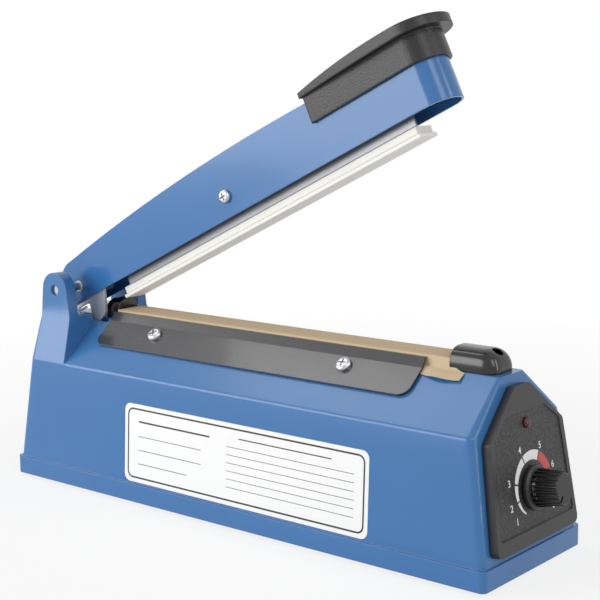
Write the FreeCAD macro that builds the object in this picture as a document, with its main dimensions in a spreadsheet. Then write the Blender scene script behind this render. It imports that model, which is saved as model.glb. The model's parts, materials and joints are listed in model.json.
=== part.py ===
import FreeCAD, Part
# Hand impulse heat sealer, 200 mm class, drawn open, in millimetres.
# Base frame: +X to the control panel, -Y to the user, +Z up, height counted from the skirt's lower edge.
# Arm frame: origin on the hinge pin, +X along the arm's lower edge, +Z towards the arm's back.
# Panel frame: origin on the knob's axis at the panel's face, +X down the panel, +Z out of it.
import math
import os
import re

import Sketcher
from FreeCAD import Placement, Rotation, Vector

DOC = FreeCAD.newDocument("impulse_sealer")
SHEET = DOC.addObject("Spreadsheet::Sheet", "Sizes")

SIZES = {
    # Moulded housing
    "housing_length": 320,
    "housing_depth": 86,
    "housing_wall": 2.6,
    "skirt_height": 10,
    "skirt_step": 1.2,
    "skirt_corner": 3,
    "ridge_height": 68,
    "ridge_round": 2.4,
    "top_height": 90.5,
    "top_width": 20.8,
    "end_lean": 8.13,
    "side_lean": 3.55,
    "wall_corner": 4,
    "top_corner": 2,
    # Hinge towers, ears and pin
    "pivot_inset": 24.2,
    "pivot_height": 107.3,
    "ear_radius": 10,
    "ear_gap": 46.6,
    "ear_thickness": 6.7,
    "tower_reach": 15.5,
    "tower_waist_height": 92,
    "tower_root": 6,
    "tower_flare": 3.4,
    "tower_corner": 2,
    "ear_corner": 1.5,
    "tower_step_height": 93,
    "tower_gap": 26,
    "pin_diameter": 4.5,
    "pin_head_diameter": 5.8,
    "pin_head_length": 1.8,
    "pin_recess": 1.4,
    # Arm
    "open_angle": 25.1,
    "arm_width": 24,
    "arm_wall": 1.2,
    "arm_drop": 8.6,
    "arm_heel": 15.2,
    "arm_apex": 153,
    "arm_back": 23.8,
    "arm_reach": 276.2,
    "bush_diameter": 6.4,
    "bush_flange": 10,
    "bush_flange_thickness": 1.4,
    # Grip cover on the arm's nose
    "grip_start": 201.6,
    "grip_wall": 1.7,
    "grip_low": 11.7,
    "brim_low": 25.4,
    "brim_overhang": 1.4,
    "brim_start_top": 28.2,
    "brim_crown_top": 31,
    "brim_nose_top": 30,
    "brim_start_width": 30,
    "brim_nose_width": 36,
    "brim_nose_reach": 283.8,
    "grip_screw_spacing": 30,
    # Pressure bar and its silicone strip
    "bar_start": 36,
    "bar_length": 209,
    "bar_width": 14,
    "bar_top_drop": 3.4,
    "bar_side_drop": 12.6,
    "bar_pivot_reach": 130.8,
    "bar_pivot_rise": 2.3,
    "bar_lug_length": 26,
    "bar_lug_width": 9,
    "strip_start": 29,
    "strip_length": 224,
    "strip_drop": 18.4,
    "strip_round": 1.5,
    "strip_tenon_width": 7,
    "strip_tenon_height": 2.4,
    "pivot_screw_diameter": 4,
    "pivot_screw_head": 7.4,
    "pivot_screw_head_height": 2.4,
    "pivot_nut_width": 7,
    "pivot_nut_height": 3.2,
    # Actuator bracket under the arm
    "bracket_thickness": 2,
    "bracket_front": 13,
    "bracket_width": 9,
    "bracket_tip_drop": 24.7,
    "bracket_shoulder_drop": 21.6,
    "bracket_head_rise": 8,
    "hook_reach": 9.6,
    "hook_top_drop": 8.8,
    "hook_height": 4.2,
    "hook_slit": 0.9,
    "bracket_slot_start": 1,
    "bracket_slot_end": 24,
    # Return spring round the pin
    "spring_wire": 1,
    "spring_mean_diameter": 6.6,
    "spring_pitch": 1.6,
    "spring_turns": 4,
    "spring_foot_gap": 0.5,
    "spring_arm_leg": 17,
    # Sealing deck, wire, cloth
    "deck_center": -1,
    "deck_width": 17.2,
    "deck_height": 4.5,
    "deck_round": 1,
    "tape_width": 10,
    "tape_thickness": 0.3,
    "wire_width": 2.4,
    "wire_thickness": 0.25,
    "wire_grip": 1.9,
    "cloth_thickness": 0.3,
    "cloth_lift": 0.1,
    "cloth_left_reach": 106.5,
    "cloth_right_reach": 120,
    "cloth_skirt": 13,
    # Clamp plates
    "plate_length": 214,
    "plate_thickness": 1.2,
    "plate_lip": 4.6,
    "plate_crease": 13.2,
    "plate_slope_length": 21,
    "plate_corner": 6,
    "plate_lift": 0.5,
    "clamp_screw_spacing": 131,
    "clamp_screw_shift": -1.7,
    "clamp_screw_down": 7.9,
    "clamp_screw_diameter": 3,
    "clamp_screw_head": 8.4,
    "clamp_screw_head_height": 2.6,
    "clamp_screw_length": 9,
    # End caps and wire terminals
    "cap_width": 20,
    "cap_height": 11.4,
    "cap_side": 3.5,
    "cap_length": 22.5,
    "cap_inner_end": 122,
    "cap_bevel": 7.5,
    "cap_round": 1.5,
    "cap_wall": 1.6,
    "cap_hole": 5,
    "cap_hole_inset": 6.5,
    "left_cap_width": 15.6,
    "left_cap_length": 13.2,
    "left_cap_inner_end": 107.6,
    "terminal_length": 6,
    "terminal_width": 9,
    "terminal_screw": 3,
    "terminal_screw_head": 5,
    "terminal_screw_head_height": 1.5,
    # Control panel, lamp and timer
    "panel_thickness": 4.5,
    "panel_top_height": 86.3,
    "panel_top_width": 13,
    "panel_shoulder_height": 65.1,
    "panel_shoulder_width": 63.8,
    "panel_bottom_height": 14,
    "panel_bottom_width": 71,
    "panel_corner": 3.5,
    "field_top_height": 74.3,
    "field_top_width": 33,
    "field_shoulder_height": 65.7,
    "field_shoulder_width": 57,
    "field_bottom_height": 20.9,
    "field_bottom_width": 65,
    "field_corner": 2,
    "panel_field_depth": 0.6,
    "lamp_height": 68.7,
    "lamp_diameter": 5,
    "lamp_rim": 6.4,
    "lamp_proud": 1.6,
    "lamp_holder": 9,
    "lamp_holder_length": 6,
    "knob_height": 38.7,
    "knob_collar": 21,
    "knob_collar_height": 2.2,
    "knob_base": 18,
    "knob_tip": 15.4,
    "knob_length": 15.5,
    "knob_gap": 0.8,
    "knob_flutes": 20,
    "knob_flute_diameter": 2.2,
    "knob_flute_center": 8.3,
    "knob_pointer_angle": -43,
    "knob_pointer_start": 4,
    "knob_pointer_end": 7.2,
    "knob_pointer_width": 1.4,
    "knob_pointer_depth": 0.7,
    "knob_well": 15,
    "knob_well_depth": 4.2,
    "shaft_diameter": 6,
    "shaft_length": 20,
    "pot_bush": 7.2,
    "pot_thread_proud": 2.6,
    "pot_nut_width": 11,
    "pot_nut_height": 2,
    "pot_diameter": 16.5,
    "pot_length": 9,
    "board_length": 46,
    "board_width": 52,
    "board_thickness": 1.6,
    "capacitor_diameter": 8,
    "capacitor_height": 12,
    "relay_length": 19,
    "relay_width": 15.5,
    "relay_height": 15,
    "triac_width": 10,
    "triac_length": 15,
    "triac_thickness": 4.4,
    # Transformer
    "core_center": 38,
    "core_length": 66,
    "core_height": 55,
    "core_stack": 30,
    "core_leg": 22,
    "core_yoke": 11,
    "coil_margin": 0.6,
    "coil_overhang": 9,
    "strap_thickness": 1.5,
    "strap_width": 22,
    "strap_foot": 14,
    "strap_screw": 4,
    "strap_screw_head": 7.5,
    "strap_screw_head_height": 2.5,
    # Micro switch under the bracket
    "lever_pivot_x": -108,
    "lever_pivot_height": 75.6,
    "lever_pin": 2,
    "lever_length": 25,
    "lever_width": 3.6,
    "lever_thickness": 0.8,
    "lever_eye": 4,
    "lever_rise": 26.2,
    "switch_length": 28,
    "switch_height": 16,
    "switch_width": 10,
    "switch_lug": 5,
    "switch_bracket_thickness": 1.4,
    "switch_bracket_foot": 16,
    "switch_screw": 2.5,
    "switch_screw_spacing": 20,
    "switch_screw_head": 4.6,
    "switch_screw_head_height": 1.6,
    # Base plate, feet and fasteners
    "plate_gap": 0.4,
    "base_plate_thickness": 1.2,
    "base_plate_inset": 0.8,
    "boss_diameter": 8,
    "boss_inset_x": 22,
    "boss_inset_y": 6.4,
    "boss_height": 30,
    "base_screw": 3,
    "base_screw_head": 6,
    "base_screw_head_height": 1.6,
    "base_screw_length": 10,
    "foot_diameter": 15,
    "foot_tip_diameter": 12.5,
    "foot_drop": 2,
    "foot_inset_x": 34,
    "foot_inset_y": 18,
    # Cord bush in the hinge-end wall
    "cord_bush_height": 24,
    "cord_bore": 6.6,
    "cord_bush_neck": 10.4,
    "cord_bush_flange": 15,
    "cord_bush_flange_thickness": 2.4,
    "cord_bush_length": 8,
    # Fits
    "running_fit": 0.05,
    "screw_fit": 0.1,
    "seat_fit": 0.2,
    "slot_fit": 1.4,
}


def wall_x(height):
    """Half length of the housing's outer wall at a height above the skirt's edge."""
    return f"(housing_length / 2 - skirt_step - (({height}) - skirt_height) * tan(end_lean))"


def wall_y(height):
    """Half depth of the housing's outer wall at a height between the skirt and the ridge."""
    return f"(housing_depth / 2 - skirt_step - (({height}) - skirt_height) * tan(side_lean))"


# Sizes that follow from the driving ones, each as an expression
TERMS = {
    "ridge_x": wall_x("ridge_height"),
    "ridge_y": wall_y("ridge_height"),
    "top_x": wall_x("top_height"),
    "top_y": "top_width / 2",
    "shoulder_angle": "atan((top_height - ridge_height) / (ridge_y - top_y))",
    "pivot_x": "-(housing_length / 2 - pivot_inset)",
    "pin_bore": "pin_diameter + running_fit * 2",
    "ear_inner": "ear_gap / 2",
    "ear_outer": "ear_gap / 2 + ear_thickness",
    "panel_x": f"{wall_x('knob_height')} + panel_thickness / cos(end_lean)",
    "knob_end_x": "panel_x + (knob_gap + knob_length) * cos(end_lean) + knob_tip / 2 * sin(end_lean)",
    "origin_shift": "-(knob_end_x - housing_length / 2) / 2",
    "arm_half": "arm_width / 2",
    "arm_inner": "arm_width / 2 - arm_wall",
    "arm_bow": "(arm_apex ^ 2 + (arm_back - arm_heel) ^ 2) / (2 * (arm_back - arm_heel))",
    "bracket_outer": "arm_inner",
    "deck_top": "top_height + deck_height",
    "tape_top": "deck_top + tape_thickness",
    "wire_top": "tape_top + wire_thickness",
    "cloth_low": "wire_top + cloth_lift",
    "cloth_top": "cloth_low + cloth_thickness",
    "cloth_inner": "deck_width / 2 + cloth_lift",
    "cloth_outer": "cloth_inner + cloth_thickness",
    "lip_inner": "cloth_outer + cloth_lift",
    "plate_low": "plate_gap",
    "plate_top": "plate_gap + base_plate_thickness",
    "boss_x": f"({wall_x('skirt_height')} - boss_inset_x)",
    "boss_y": f"({wall_y('skirt_height')} - boss_inset_y)",
    "foot_x": f"({wall_x('skirt_height')} - foot_inset_x)",
    "foot_y": f"({wall_y('skirt_height')} - foot_inset_y)",
    "panel_back": "-panel_thickness",
    "wall_back": "-panel_thickness - housing_wall",
    "pot_front": "wall_back - seat_fit",
    "pot_rear": "pot_front - pot_length",
    "board_rear": "pot_rear - board_thickness",
    "switch_top": "lever_pivot_height - switch_lug / 2 + 0.5",
    "switch_y": "-(bracket_outer - bracket_thickness / 2)",
    "brim_start": "grip_start - brim_overhang",
}

FRAMES = {
    "base": (Vector(0, 0, 1), "0", "origin_shift", "foot_drop"),
    "deck": (Vector(0, 0, 1), "0", "origin_shift + deck_center", "foot_drop"),
    "deck_rear": (Vector(0, 0, 1), "180", "origin_shift + deck_center", "foot_drop"),
    "arm": (Vector(0, -1, 0), "open_angle", "origin_shift + pivot_x", "foot_drop + pivot_height"),
    "panel": (Vector(0, 1, 0), "90 - end_lean", "origin_shift + panel_x", "foot_drop + knob_height"),
    "hinge_end": (
        Vector(0, -1, 0),
        "90 - end_lean",
        f"origin_shift - {wall_x('cord_bush_height')}",
        "foot_drop + cord_bush_height",
    ),
}

BOSSES = [(f"{x}boss_x", f"{y}boss_y") for x in ("", "-") for y in ("", "-")]
NODES = []
WORD = re.compile(r"[A-Za-z_][A-Za-z_0-9]*")


def bind(text):
    """Point every size name in an expression at its cell of the sheet."""

    def cell(match):
        name = match.group(0)
        if name in TERMS:
            return "(" + bind(TERMS[name]) + ")"
        if name in SIZES:
            return "Sizes." + name
        return name

    return WORD.sub(cell, str(text))


def value(text):
    """Number that an expression comes to with the sheet's present sizes."""
    result = SHEET.evalExpression(bind(text))
    return float(getattr(result, "Value", result))


def fill_sheet():
    """Write every driving size to the sheet, under its alias."""
    for row, (alias, number) in enumerate(SIZES.items(), start=1):
        SHEET.set(f"A{row}", alias.replace("_", " "))
        SHEET.set(f"B{row}", str(number))
        SHEET.setAlias(f"B{row}", alias)
    DOC.recompute()


def new_body(label):
    """Empty PartDesign body."""
    body = DOC.addObject("PartDesign::Body", label)
    body.Label = label
    return body


def node(thing, frame, label=None):
    """Name a finished sub-part and place it by one of the frames."""
    axis, angle, x, z = FRAMES[frame]
    thing.Placement = Placement(Vector(), Rotation(axis, value(angle)))
    thing.setExpression("Placement.Rotation.Angle", bind(angle))
    thing.setExpression("Placement.Base.x", bind(x))
    thing.setExpression("Placement.Base.z", bind(z))
    if label:
        thing.Label = label
    NODES.append(thing)
    return thing


def new_sketch(body, role, lift):
    """Sketch on one of the body's own origin planes, lifted along the plane's normal."""
    sketch = body.newObject("Sketcher::SketchObject", body.Name + "_sketch")
    plane = next(feature for feature in body.Origin.OriginFeatures if feature.Role == role)
    sketch.AttachmentSupport = (plane, [""])
    sketch.MapMode = "FlatFace"
    sketch.setExpression("AttachmentOffset.Base.z", bind(lift))
    return sketch


def pin_point(sketch, element, end, across, up):
    """Hold one point of a sketch at two bound distances from the origin."""
    for kind, text in (("DistanceX", across), ("DistanceY", up)):
        index = sketch.addConstraint(Sketcher.Constraint(kind, -1, 1, element, end, value(text)))
        sketch.setExpression(f"Constraints[{index}]", bind(text))


def outline(body, role, path, lift="0"):
    """Closed outline of lines and arcs, every corner bound to the sheet.

    A corner is (across, up) after a line, or (through across, through up, across, up) after an arc.
    """
    sketch = new_sketch(body, role, lift)
    corners = [(value(step[-2]), value(step[-1])) for step in path]
    ends = []
    for number, step in enumerate(path):
        start = Vector(*corners[number - 1])
        stop = Vector(*corners[number])
        if len(step) == 2:
            curve = Part.LineSegment(start, stop)
        else:
            curve = Part.Arc(start, Vector(value(step[0]), value(step[1])), stop)
        element = sketch.addGeometry(curve, False)
        drawn = sketch.Geometry[element]
        forward = (drawn.StartPoint - start).Length < (drawn.EndPoint - start).Length
        ends.append((element, 1 if forward else 2, 2 if forward else 1))
    for number, (element, _, last) in enumerate(ends):
        following, first, _ = ends[(number + 1) % len(ends)]
        sketch.addConstraint(Sketcher.Constraint("Coincident", element, last, following, first))
        pin_point(sketch, element, last, path[number][-2], path[number][-1])
        if len(path[number]) == 4:
            through = Vector(value(path[number][0]), value(path[number][1]))
            point = sketch.addGeometry(Part.Point(through), True)
            pin_point(sketch, point, 1, path[number][0], path[number][1])
            sketch.addConstraint(Sketcher.Constraint("PointOnObject", point, 1, element))
    return sketch


def circles(body, role, spots, lift="0"):
    """Circles of one sketch, each (across, up, diameter)."""
    sketch = new_sketch(body, role, lift)
    for across, up, diameter in spots:
        center = Vector(value(across), value(up))
        element = sketch.addGeometry(Part.Circle(center, Vector(0, 0, 1), value(diameter) / 2), False)
        pin_point(sketch, element, 3, across, up)
        index = sketch.addConstraint(Sketcher.Constraint("Diameter", element, value(diameter)))
        sketch.setExpression(f"Constraints[{index}]", bind(diameter))
    return sketch


def rectangle(left, low, right, high):
    """Path of a plain rectangle."""
    return [(left, low), (right, low), (right, high), (left, high)]


def rounded_rectangle(half_x, half_y, radius):
    """Path of a centred rectangle with round corners."""
    flat_x = f"(({half_x}) - ({radius}))"
    flat_y = f"(({half_y}) - ({radius}))"
    bulge = f"({radius}) * sqrt(0.5)"
    path = []
    for sign_x, sign_y in ((1, -1), (1, 1), (-1, 1), (-1, -1)):
        side = (f"{sign_x} * ({half_x})", f"{sign_y} * {flat_y}")
        end = (f"{sign_x} * {flat_x}", f"{sign_y} * ({half_y})")
        through = (f"{sign_x} * ({flat_x} + {bulge})", f"{sign_y} * ({flat_y} + {bulge})")
        first, last = (end, side) if sign_x * sign_y < 0 else (side, end)
        path.append(first)
        path.append(through + last)
    return path


def pad(body, sketch, length, symmetric=False, backwards=False):
    """Raise a sketch into the body."""
    feature = body.newObject("PartDesign::Pad", body.Name + "_pad")
    feature.Profile = sketch
    feature.SideType = "Symmetric" if symmetric else "One side"
    feature.Reversed = backwards
    feature.setExpression("Length", bind(length))
    return feature


def pocket(body, sketch, depth, symmetric=False, backwards=False):
    """Cut a sketch out of the body."""
    feature = body.newObject("PartDesign::Pocket", body.Name + "_pocket")
    feature.Profile = sketch
    feature.SideType = "Symmetric" if symmetric else "One side"
    feature.Reversed = backwards
    feature.setExpression("Length", bind(depth))
    return feature


def revolve(body, sketch):
    """Turn a sketch round its own upright axis."""
    feature = body.newObject("PartDesign::Revolution", body.Name + "_turn")
    feature.Profile = sketch
    feature.ReferenceAxis = (sketch, ["V_Axis"])
    feature.Angle = 360
    return feature


def loft(body, sketches, kind="Additive"):
    """Ruled loft through sketches, added to the body or cut from it."""
    feature = body.newObject(f"PartDesign::{kind}Loft", body.Name + "_loft")
    feature.Profile = sketches[0]
    feature.Sections = sketches[1:]
    feature.Ruled = True
    return feature


def fillet(body, radius, chosen):
    """Round the edges of the body that a test picks."""
    DOC.recompute()
    tip = body.Tip
    names = [f"Edge{i}" for i, edge in enumerate(tip.Shape.Edges, start=1) if chosen(edge)]
    feature = body.newObject("PartDesign::Fillet", body.Name + "_fillet")
    feature.Base = (tip, names)
    feature.setExpression("Radius", bind(radius))
    return feature


def boolean(kind, label, base, tool):
    """Part::Cut, Part::Common or Part::Fuse of two objects."""
    feature = DOC.addObject(f"Part::{kind}", label)
    feature.Base = base
    feature.Tool = tool
    return feature


def group(label, things):
    """Several solids kept as one sub-part."""
    feature = DOC.addObject("Part::Compound", label)
    feature.Links = things
    return feature


def box(label, low, high):
    """Part::Box between two corners given as expressions."""
    feature = DOC.addObject("Part::Box", label)
    for name, axis, start, stop in zip(("Length", "Width", "Height"), "xyz", low, high):
        feature.setExpression(name, bind(f"({stop}) - ({start})"))
        feature.setExpression(f"Placement.Base.{axis}", bind(start))
    return feature


def rod(label, start, diameter, length, axis="z"):
    """Part::Cylinder from a start point along X, Y or Z."""
    feature = DOC.addObject("Part::Cylinder", label)
    turn = {"x": Rotation(Vector(0, 1, 0), 90), "y": Rotation(Vector(1, 0, 0), -90), "z": Rotation()}
    feature.Placement = Placement(Vector(), turn[axis])
    feature.setExpression("Radius", bind(f"({diameter}) / 2"))
    feature.setExpression("Height", bind(length))
    for name, text in zip("xyz", start):
        feature.setExpression(f"Placement.Base.{name}", bind(text))
    return feature


def screw(label, spot, turn, shank, length, head, head_height):
    """Round-headed screw whose head seats at a spot, its shank along the turned -Z."""
    body = new_body(label)
    path = [
        ("0", f"-({length})"),
        (f"({shank}) / 2", f"-({length})"),
        (f"({shank}) / 2", "0"),
        (f"({head}) / 2", "0"),
        (f"({head}) / 2", f"({head_height}) * 0.35"),
        (f"({head}) * 0.34", f"({head_height}) * 0.8", f"({head}) * 0.15", head_height),
        ("0", head_height),
    ]
    revolve(body, outline(body, "XZ_Plane", path))
    axis, angle = turn
    body.Placement = Placement(Vector(), Rotation(axis, value(angle)))
    body.setExpression("Placement.Rotation.Angle", bind(angle))
    for name, text in zip("xyz", spot):
        body.setExpression(f"Placement.Base.{name}", bind(text))
    return body


UPRIGHT = (Vector(0, 0, 1), "0")
UPSIDE_DOWN = (Vector(1, 0, 0), "180")
TO_FRONT = (Vector(1, 0, 0), "90")
ON_SLOPE = (Vector(1, 0, 0), "shoulder_angle")


def along(edge, axis):
    """True for a straight edge parallel to an axis."""
    if edge.Curve.TypeId != "Part::GeomLine":
        return False
    return abs(edge.tangentAt(edge.FirstParameter).dot(axis)) > 0.999


def middle(edge):
    """Point halfway along an edge."""
    return edge.valueAt((edge.FirstParameter + edge.LastParameter) / 2)


def wall_outline(height, inset):
    """Outline of the housing's wall at a height, shrunk by an inset."""
    half_x = f"({wall_x(height)} - ({inset}))"
    half_y = f"({wall_y(height)} - ({inset}))"
    return rounded_rectangle(half_x, half_y, f"wall_corner - ({inset}) * 0.5")


def housing_sections(body, inset):
    """Three level outlines of the housing's wall: skirt, ridge and flat top."""
    sketches = []
    for height in ("skirt_height", f"ridge_height - ({inset}) * 0.45"):
        path = wall_outline(height, inset)
        sketches.append(outline(body, "XY_Plane", path, height))
    half_x = f"(top_x - ({inset}))"
    half_y = f"(top_y - ({inset}) * 0.45)"
    path = rounded_rectangle(half_x, half_y, "top_corner")
    sketches.append(outline(body, "XY_Plane", path, f"top_height - ({inset})"))
    return sketches


def make_towers():
    """Two hinge towers that grow out of the hinge end, each ending in a round ear."""
    foot = "(ridge_height - tower_root)"
    above = "(pivot_height + ear_radius + 5)"
    left = f"(-{wall_x(foot)})"
    right = "(pivot_x + tower_reach)"

    def touch(side_x, sign):
        """Where a line from a tower's foot touches the ear's round top."""
        reach = f"({side_x} - pivot_x)"
        drop = f"({foot} - pivot_height)"
        turn = f"(atan2({drop}; {reach}) {sign} acos(ear_radius / hypot({reach}; {drop})))"
        return f"(pivot_x + ear_radius * cos({turn}))", f"(pivot_height + ear_radius * sin({turn}))"

    crown = ("pivot_x", "pivot_height + ear_radius")
    profile = new_body("tower_profile")
    path = [(left, foot), (right, foot), touch(right, "+"), crown + touch(left, "-")]
    pad(profile, outline(profile, "XZ_Plane", path), "housing_depth", symmetric=True)
    well = [
        ("-tower_gap / 2", "top_height"),
        ("tower_gap / 2", "top_height"),
        ("tower_gap / 2", "tower_step_height"),
        ("ear_inner", "tower_step_height"),
        ("ear_inner", above),
        ("-ear_inner", above),
        ("-ear_inner", "tower_step_height"),
        ("-tower_gap / 2", "tower_step_height"),
    ]
    pocket(profile, outline(profile, "YZ_Plane", well), "housing_length * 2", symmetric=True)

    envelope = new_body("tower_envelope")
    ear_end = "(-pivot_x + ear_radius)"
    levels = (
        (foot, wall_x(foot), wall_y(foot), "wall_corner"),
        ("ridge_height", "ridge_x", "ridge_y", "wall_corner"),
        ("tower_waist_height", f"{ear_end} + tower_flare", "ear_outer", "tower_corner"),
        (above, f"{ear_end} + tower_flare / 4", "ear_outer", "ear_corner"),
    )
    sections = []
    for lift, half_x, half_y, corner in levels:
        sections.append(outline(envelope, "XY_Plane", rounded_rectangle(half_x, half_y, corner), lift))
    loft(envelope, sections)
    return boolean("Common", "hinge_towers", profile, envelope)


def housing_holes(drills):
    """Tools that cut the housing's holes: pin, bracket slot, timer, lamp, cord and screws."""
    start = ("pivot_x", "-housing_depth", "pivot_height")
    tools = [rod("pin_hole", start, "pin_bore", "housing_depth * 2", "y")]
    for side, start in (("front", "-ear_outer - 1"), ("rear", "ear_outer - pin_recess - pin_head_length")):
        spot = ("pivot_x", start, "pivot_height")
        length = "pin_recess + pin_head_length + 1"
        tools.append(rod(f"{side}_pin_counterbore", spot, "pin_head_diameter + screw_fit * 2", length, "y"))
    low = ("pivot_x + bracket_slot_start", "-(bracket_outer + slot_fit)", "ridge_height")
    high = ("pivot_x + bracket_slot_end", "-(bracket_outer - bracket_thickness - slot_fit)", "pivot_height")
    tools.append(box("bracket_slot", low, high))
    sunk = "(panel_thickness + housing_wall / 2) * sin(end_lean)"
    for name, height, diameter in (
        ("timer", f"knob_height - {sunk}", "pot_bush + 2"),
        ("lamp", f"lamp_height - {sunk}", "lamp_holder + 1.4"),
    ):
        spot = ("ridge_x - 12", "0", height)
        tools.append(rod(f"{name}_hole", spot, diameter, "housing_length / 8", "x"))
    cord = ("-housing_length / 2 - 1", "0", "cord_bush_height + housing_wall / 2 * sin(end_lean)")
    tools.append(rod("cord_hole", cord, "cord_bush_neck + 1.2", "housing_length / 2 - ridge_x + 8", "x"))
    for number, (x, y) in enumerate(BOSSES, start=1):
        spot = (x, y, "plate_low")
        tools.append(rod(f"boss_hole_{number}", spot, "base_screw + screw_fit * 2", "base_screw_length + 2"))
    return group("housing_holes", tools + drills)


def clamp_drills():
    """Tools for the clamp screws' holes through the cloth and both shoulders."""
    tools = []
    depth = "clamp_screw_length * 2"
    for side, sign, turn in (("front", "-", 1), ("rear", "", -1)):
        for place, step in (("left", "-"), ("right", "+")):
            tool = rod(
                f"{side}_{place}_clamp_hole",
                (
                    f"deck_center + {turn} * clamp_screw_shift {step} clamp_screw_spacing / 2",
                    f"{sign}(top_y + clamp_screw_down * cos(shoulder_angle) - {depth} * sin(shoulder_angle))",
                    f"top_height - clamp_screw_down * sin(shoulder_angle) - {depth} * cos(shoulder_angle)",
                ),
                "clamp_screw_diameter + screw_fit * 2",
                f"{depth} * 2",
            )
            tilt = Rotation(Vector(turn, 0, 0), value("shoulder_angle"))
            tool.Placement = Placement(tool.Placement.Base, tilt)
            tool.setExpression("Placement.Rotation.Angle", bind("shoulder_angle"))
            tools.append(tool)
    return tools


def make_housing(drills):
    """Blue moulded body: skirt, leaning walls, ridge, flat top, hinge towers and screw bosses."""
    outer = new_body("housing_outer")
    skirt = rounded_rectangle("housing_length / 2", "housing_depth / 2", "skirt_corner")
    pad(outer, outline(outer, "XY_Plane", skirt), "skirt_height")
    loft(outer, housing_sections(outer, "0"))

    def ridge(edge):
        return along(edge, Vector(1, 0, 0)) and abs(middle(edge).z - value("ridge_height")) < 0.01

    fillet(outer, "ridge_round", ridge)
    solid = boolean("Fuse", "housing_solid", outer, make_towers())
    hollow = new_body("housing_hollow")
    mouth = outline(hollow, "XY_Plane", wall_outline("skirt_height", "housing_wall"), "-1")
    pad(hollow, mouth, "skirt_height + 1")
    loft(hollow, housing_sections(hollow, "housing_wall"))
    shell = boolean("Cut", "housing_shell", solid, hollow)
    posts = [
        rod(f"screw_boss_{number}", (x, y, "plate_top"), "boss_diameter", "boss_height")
        for number, (x, y) in enumerate(BOSSES, start=1)
    ]
    bossed = boolean("Fuse", "housing_bossed", shell, group("screw_bosses", posts))
    node(boolean("Cut", "housing", bossed, housing_holes(drills)), "base")


def make_pin():
    """Bright headed pin through the ears, and the washer riveted on its far end."""
    body = new_body("hinge_pin")
    end = "(ear_outer - pin_recess)"
    shoulder = f"({end} - pin_head_length)"
    path = [
        ("0", f"-{end} + pin_head_length"),
        ("pin_diameter / 2", f"-{end} + pin_head_length"),
        ("pin_diameter / 2", shoulder),
        ("pin_head_diameter / 2", shoulder),
        ("pin_head_diameter / 2", end),
        ("0", end),
    ]
    revolve(body, outline(body, "XY_Plane", path))
    body.Label = "hinge_pin_turning"
    body.setExpression("Placement.Base.x", bind("pivot_x"))
    body.setExpression("Placement.Base.z", bind("pivot_height"))
    node(group("hinge_pin", [body]), "base", "hinge_pin")
    rivet = rod(
        "pin_rivet_washer",
        ("pivot_x", f"-({end})", "pivot_height"),
        "pin_head_diameter",
        "pin_head_length",
        "y",
    )
    node(group("hinge_pin_washer", [rivet]), "base")


def arm_form(label, inset, low):
    """Arm's outer form shrunk by an inset: bowed back, round heel, half-round nose."""
    heel = f"(arm_heel - ({inset}))"
    half = f"(arm_half - ({inset}))"
    tip = f"(arm_reach - ({inset}))"
    tip_back = f"(arm_back - ({inset}) - arm_bow + sqrt(arm_bow ^ 2 - (arm_reach - arm_apex) ^ 2))"
    heel_low = f"-sqrt({heel} ^ 2 - ({low}) ^ 2)"
    side = [
        (tip, f"-({low})"),
        (tip, tip_back),
        ("arm_apex", f"arm_back - ({inset})", "0", heel),
        (f"-{heel}", "0", heel_low, f"-({low})"),
    ]
    nose = f"({tip} - {half})"
    plan = [
        (f"-{heel} - 1", f"-{half}"),
        (nose, f"-{half}"),
        (tip, "0", nose, half),
        (f"-{heel} - 1", half),
    ]
    upright = new_body(label + "_side")
    pad(upright, outline(upright, "XZ_Plane", side), "arm_width * 2", symmetric=True)
    level = new_body(label + "_plan")
    pad(level, outline(level, "XY_Plane", plan), "arm_back * 4", symmetric=True)
    return boolean("Common", label, upright, level)


def make_arm():
    """Blue channel arm, open below, with its pin and screw holes."""
    outer = arm_form("arm_outer", "0", "arm_drop")
    inner = arm_form("arm_hollow", "arm_wall", "arm_drop + 1")
    channel = boolean("Cut", "arm_channel", outer, inner)
    holes = [
        rod("arm_bush_hole", ("0", "-arm_width", "0"), "bush_diameter + screw_fit * 2", "arm_width * 2", "y"),
        rod(
            "arm_pivot_screw_hole",
            ("bar_pivot_reach", "-arm_width", "bar_pivot_rise"),
            "pivot_screw_diameter + screw_fit * 2",
            "arm_width * 2",
            "y",
        ),
    ]
    for name, reach in GRIP_SCREWS:
        holes.append(rod(f"arm_{name}_hole", (reach, "0", "0"), "base_screw + screw_fit * 2", "arm_back + 6"))
    node(boolean("Cut", "arm_shell", channel, group("arm_holes", holes)), "arm")


GRIP_SCREWS = (
    ("grip_screw_rear", "(grip_start + 16)"),
    ("grip_screw_front", "(grip_start + 16 + grip_screw_spacing)"),
)


def make_bushes():
    """White nylon bushes in the arm's walls, their flanges inside the channel."""
    things = []
    for name, sign in (("front", 1), ("rear", -1)):
        body = new_body(f"pivot_bush_{name}")
        bore = "(pin_diameter / 2 + running_fit)"
        path = [
            (bore, "arm_inner - bush_flange_thickness"),
            ("bush_flange / 2", "arm_inner - bush_flange_thickness"),
            ("bush_flange / 2", "arm_inner"),
            ("bush_diameter / 2", "arm_inner"),
            ("bush_diameter / 2", "arm_half"),
            (bore, "arm_half"),
        ]
        revolve(body, outline(body, "XY_Plane", [(x, y if sign > 0 else f"-({y})") for x, y in path]))
        things.append(body)
    node(group("pivot_bushes", things), "arm")


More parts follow.
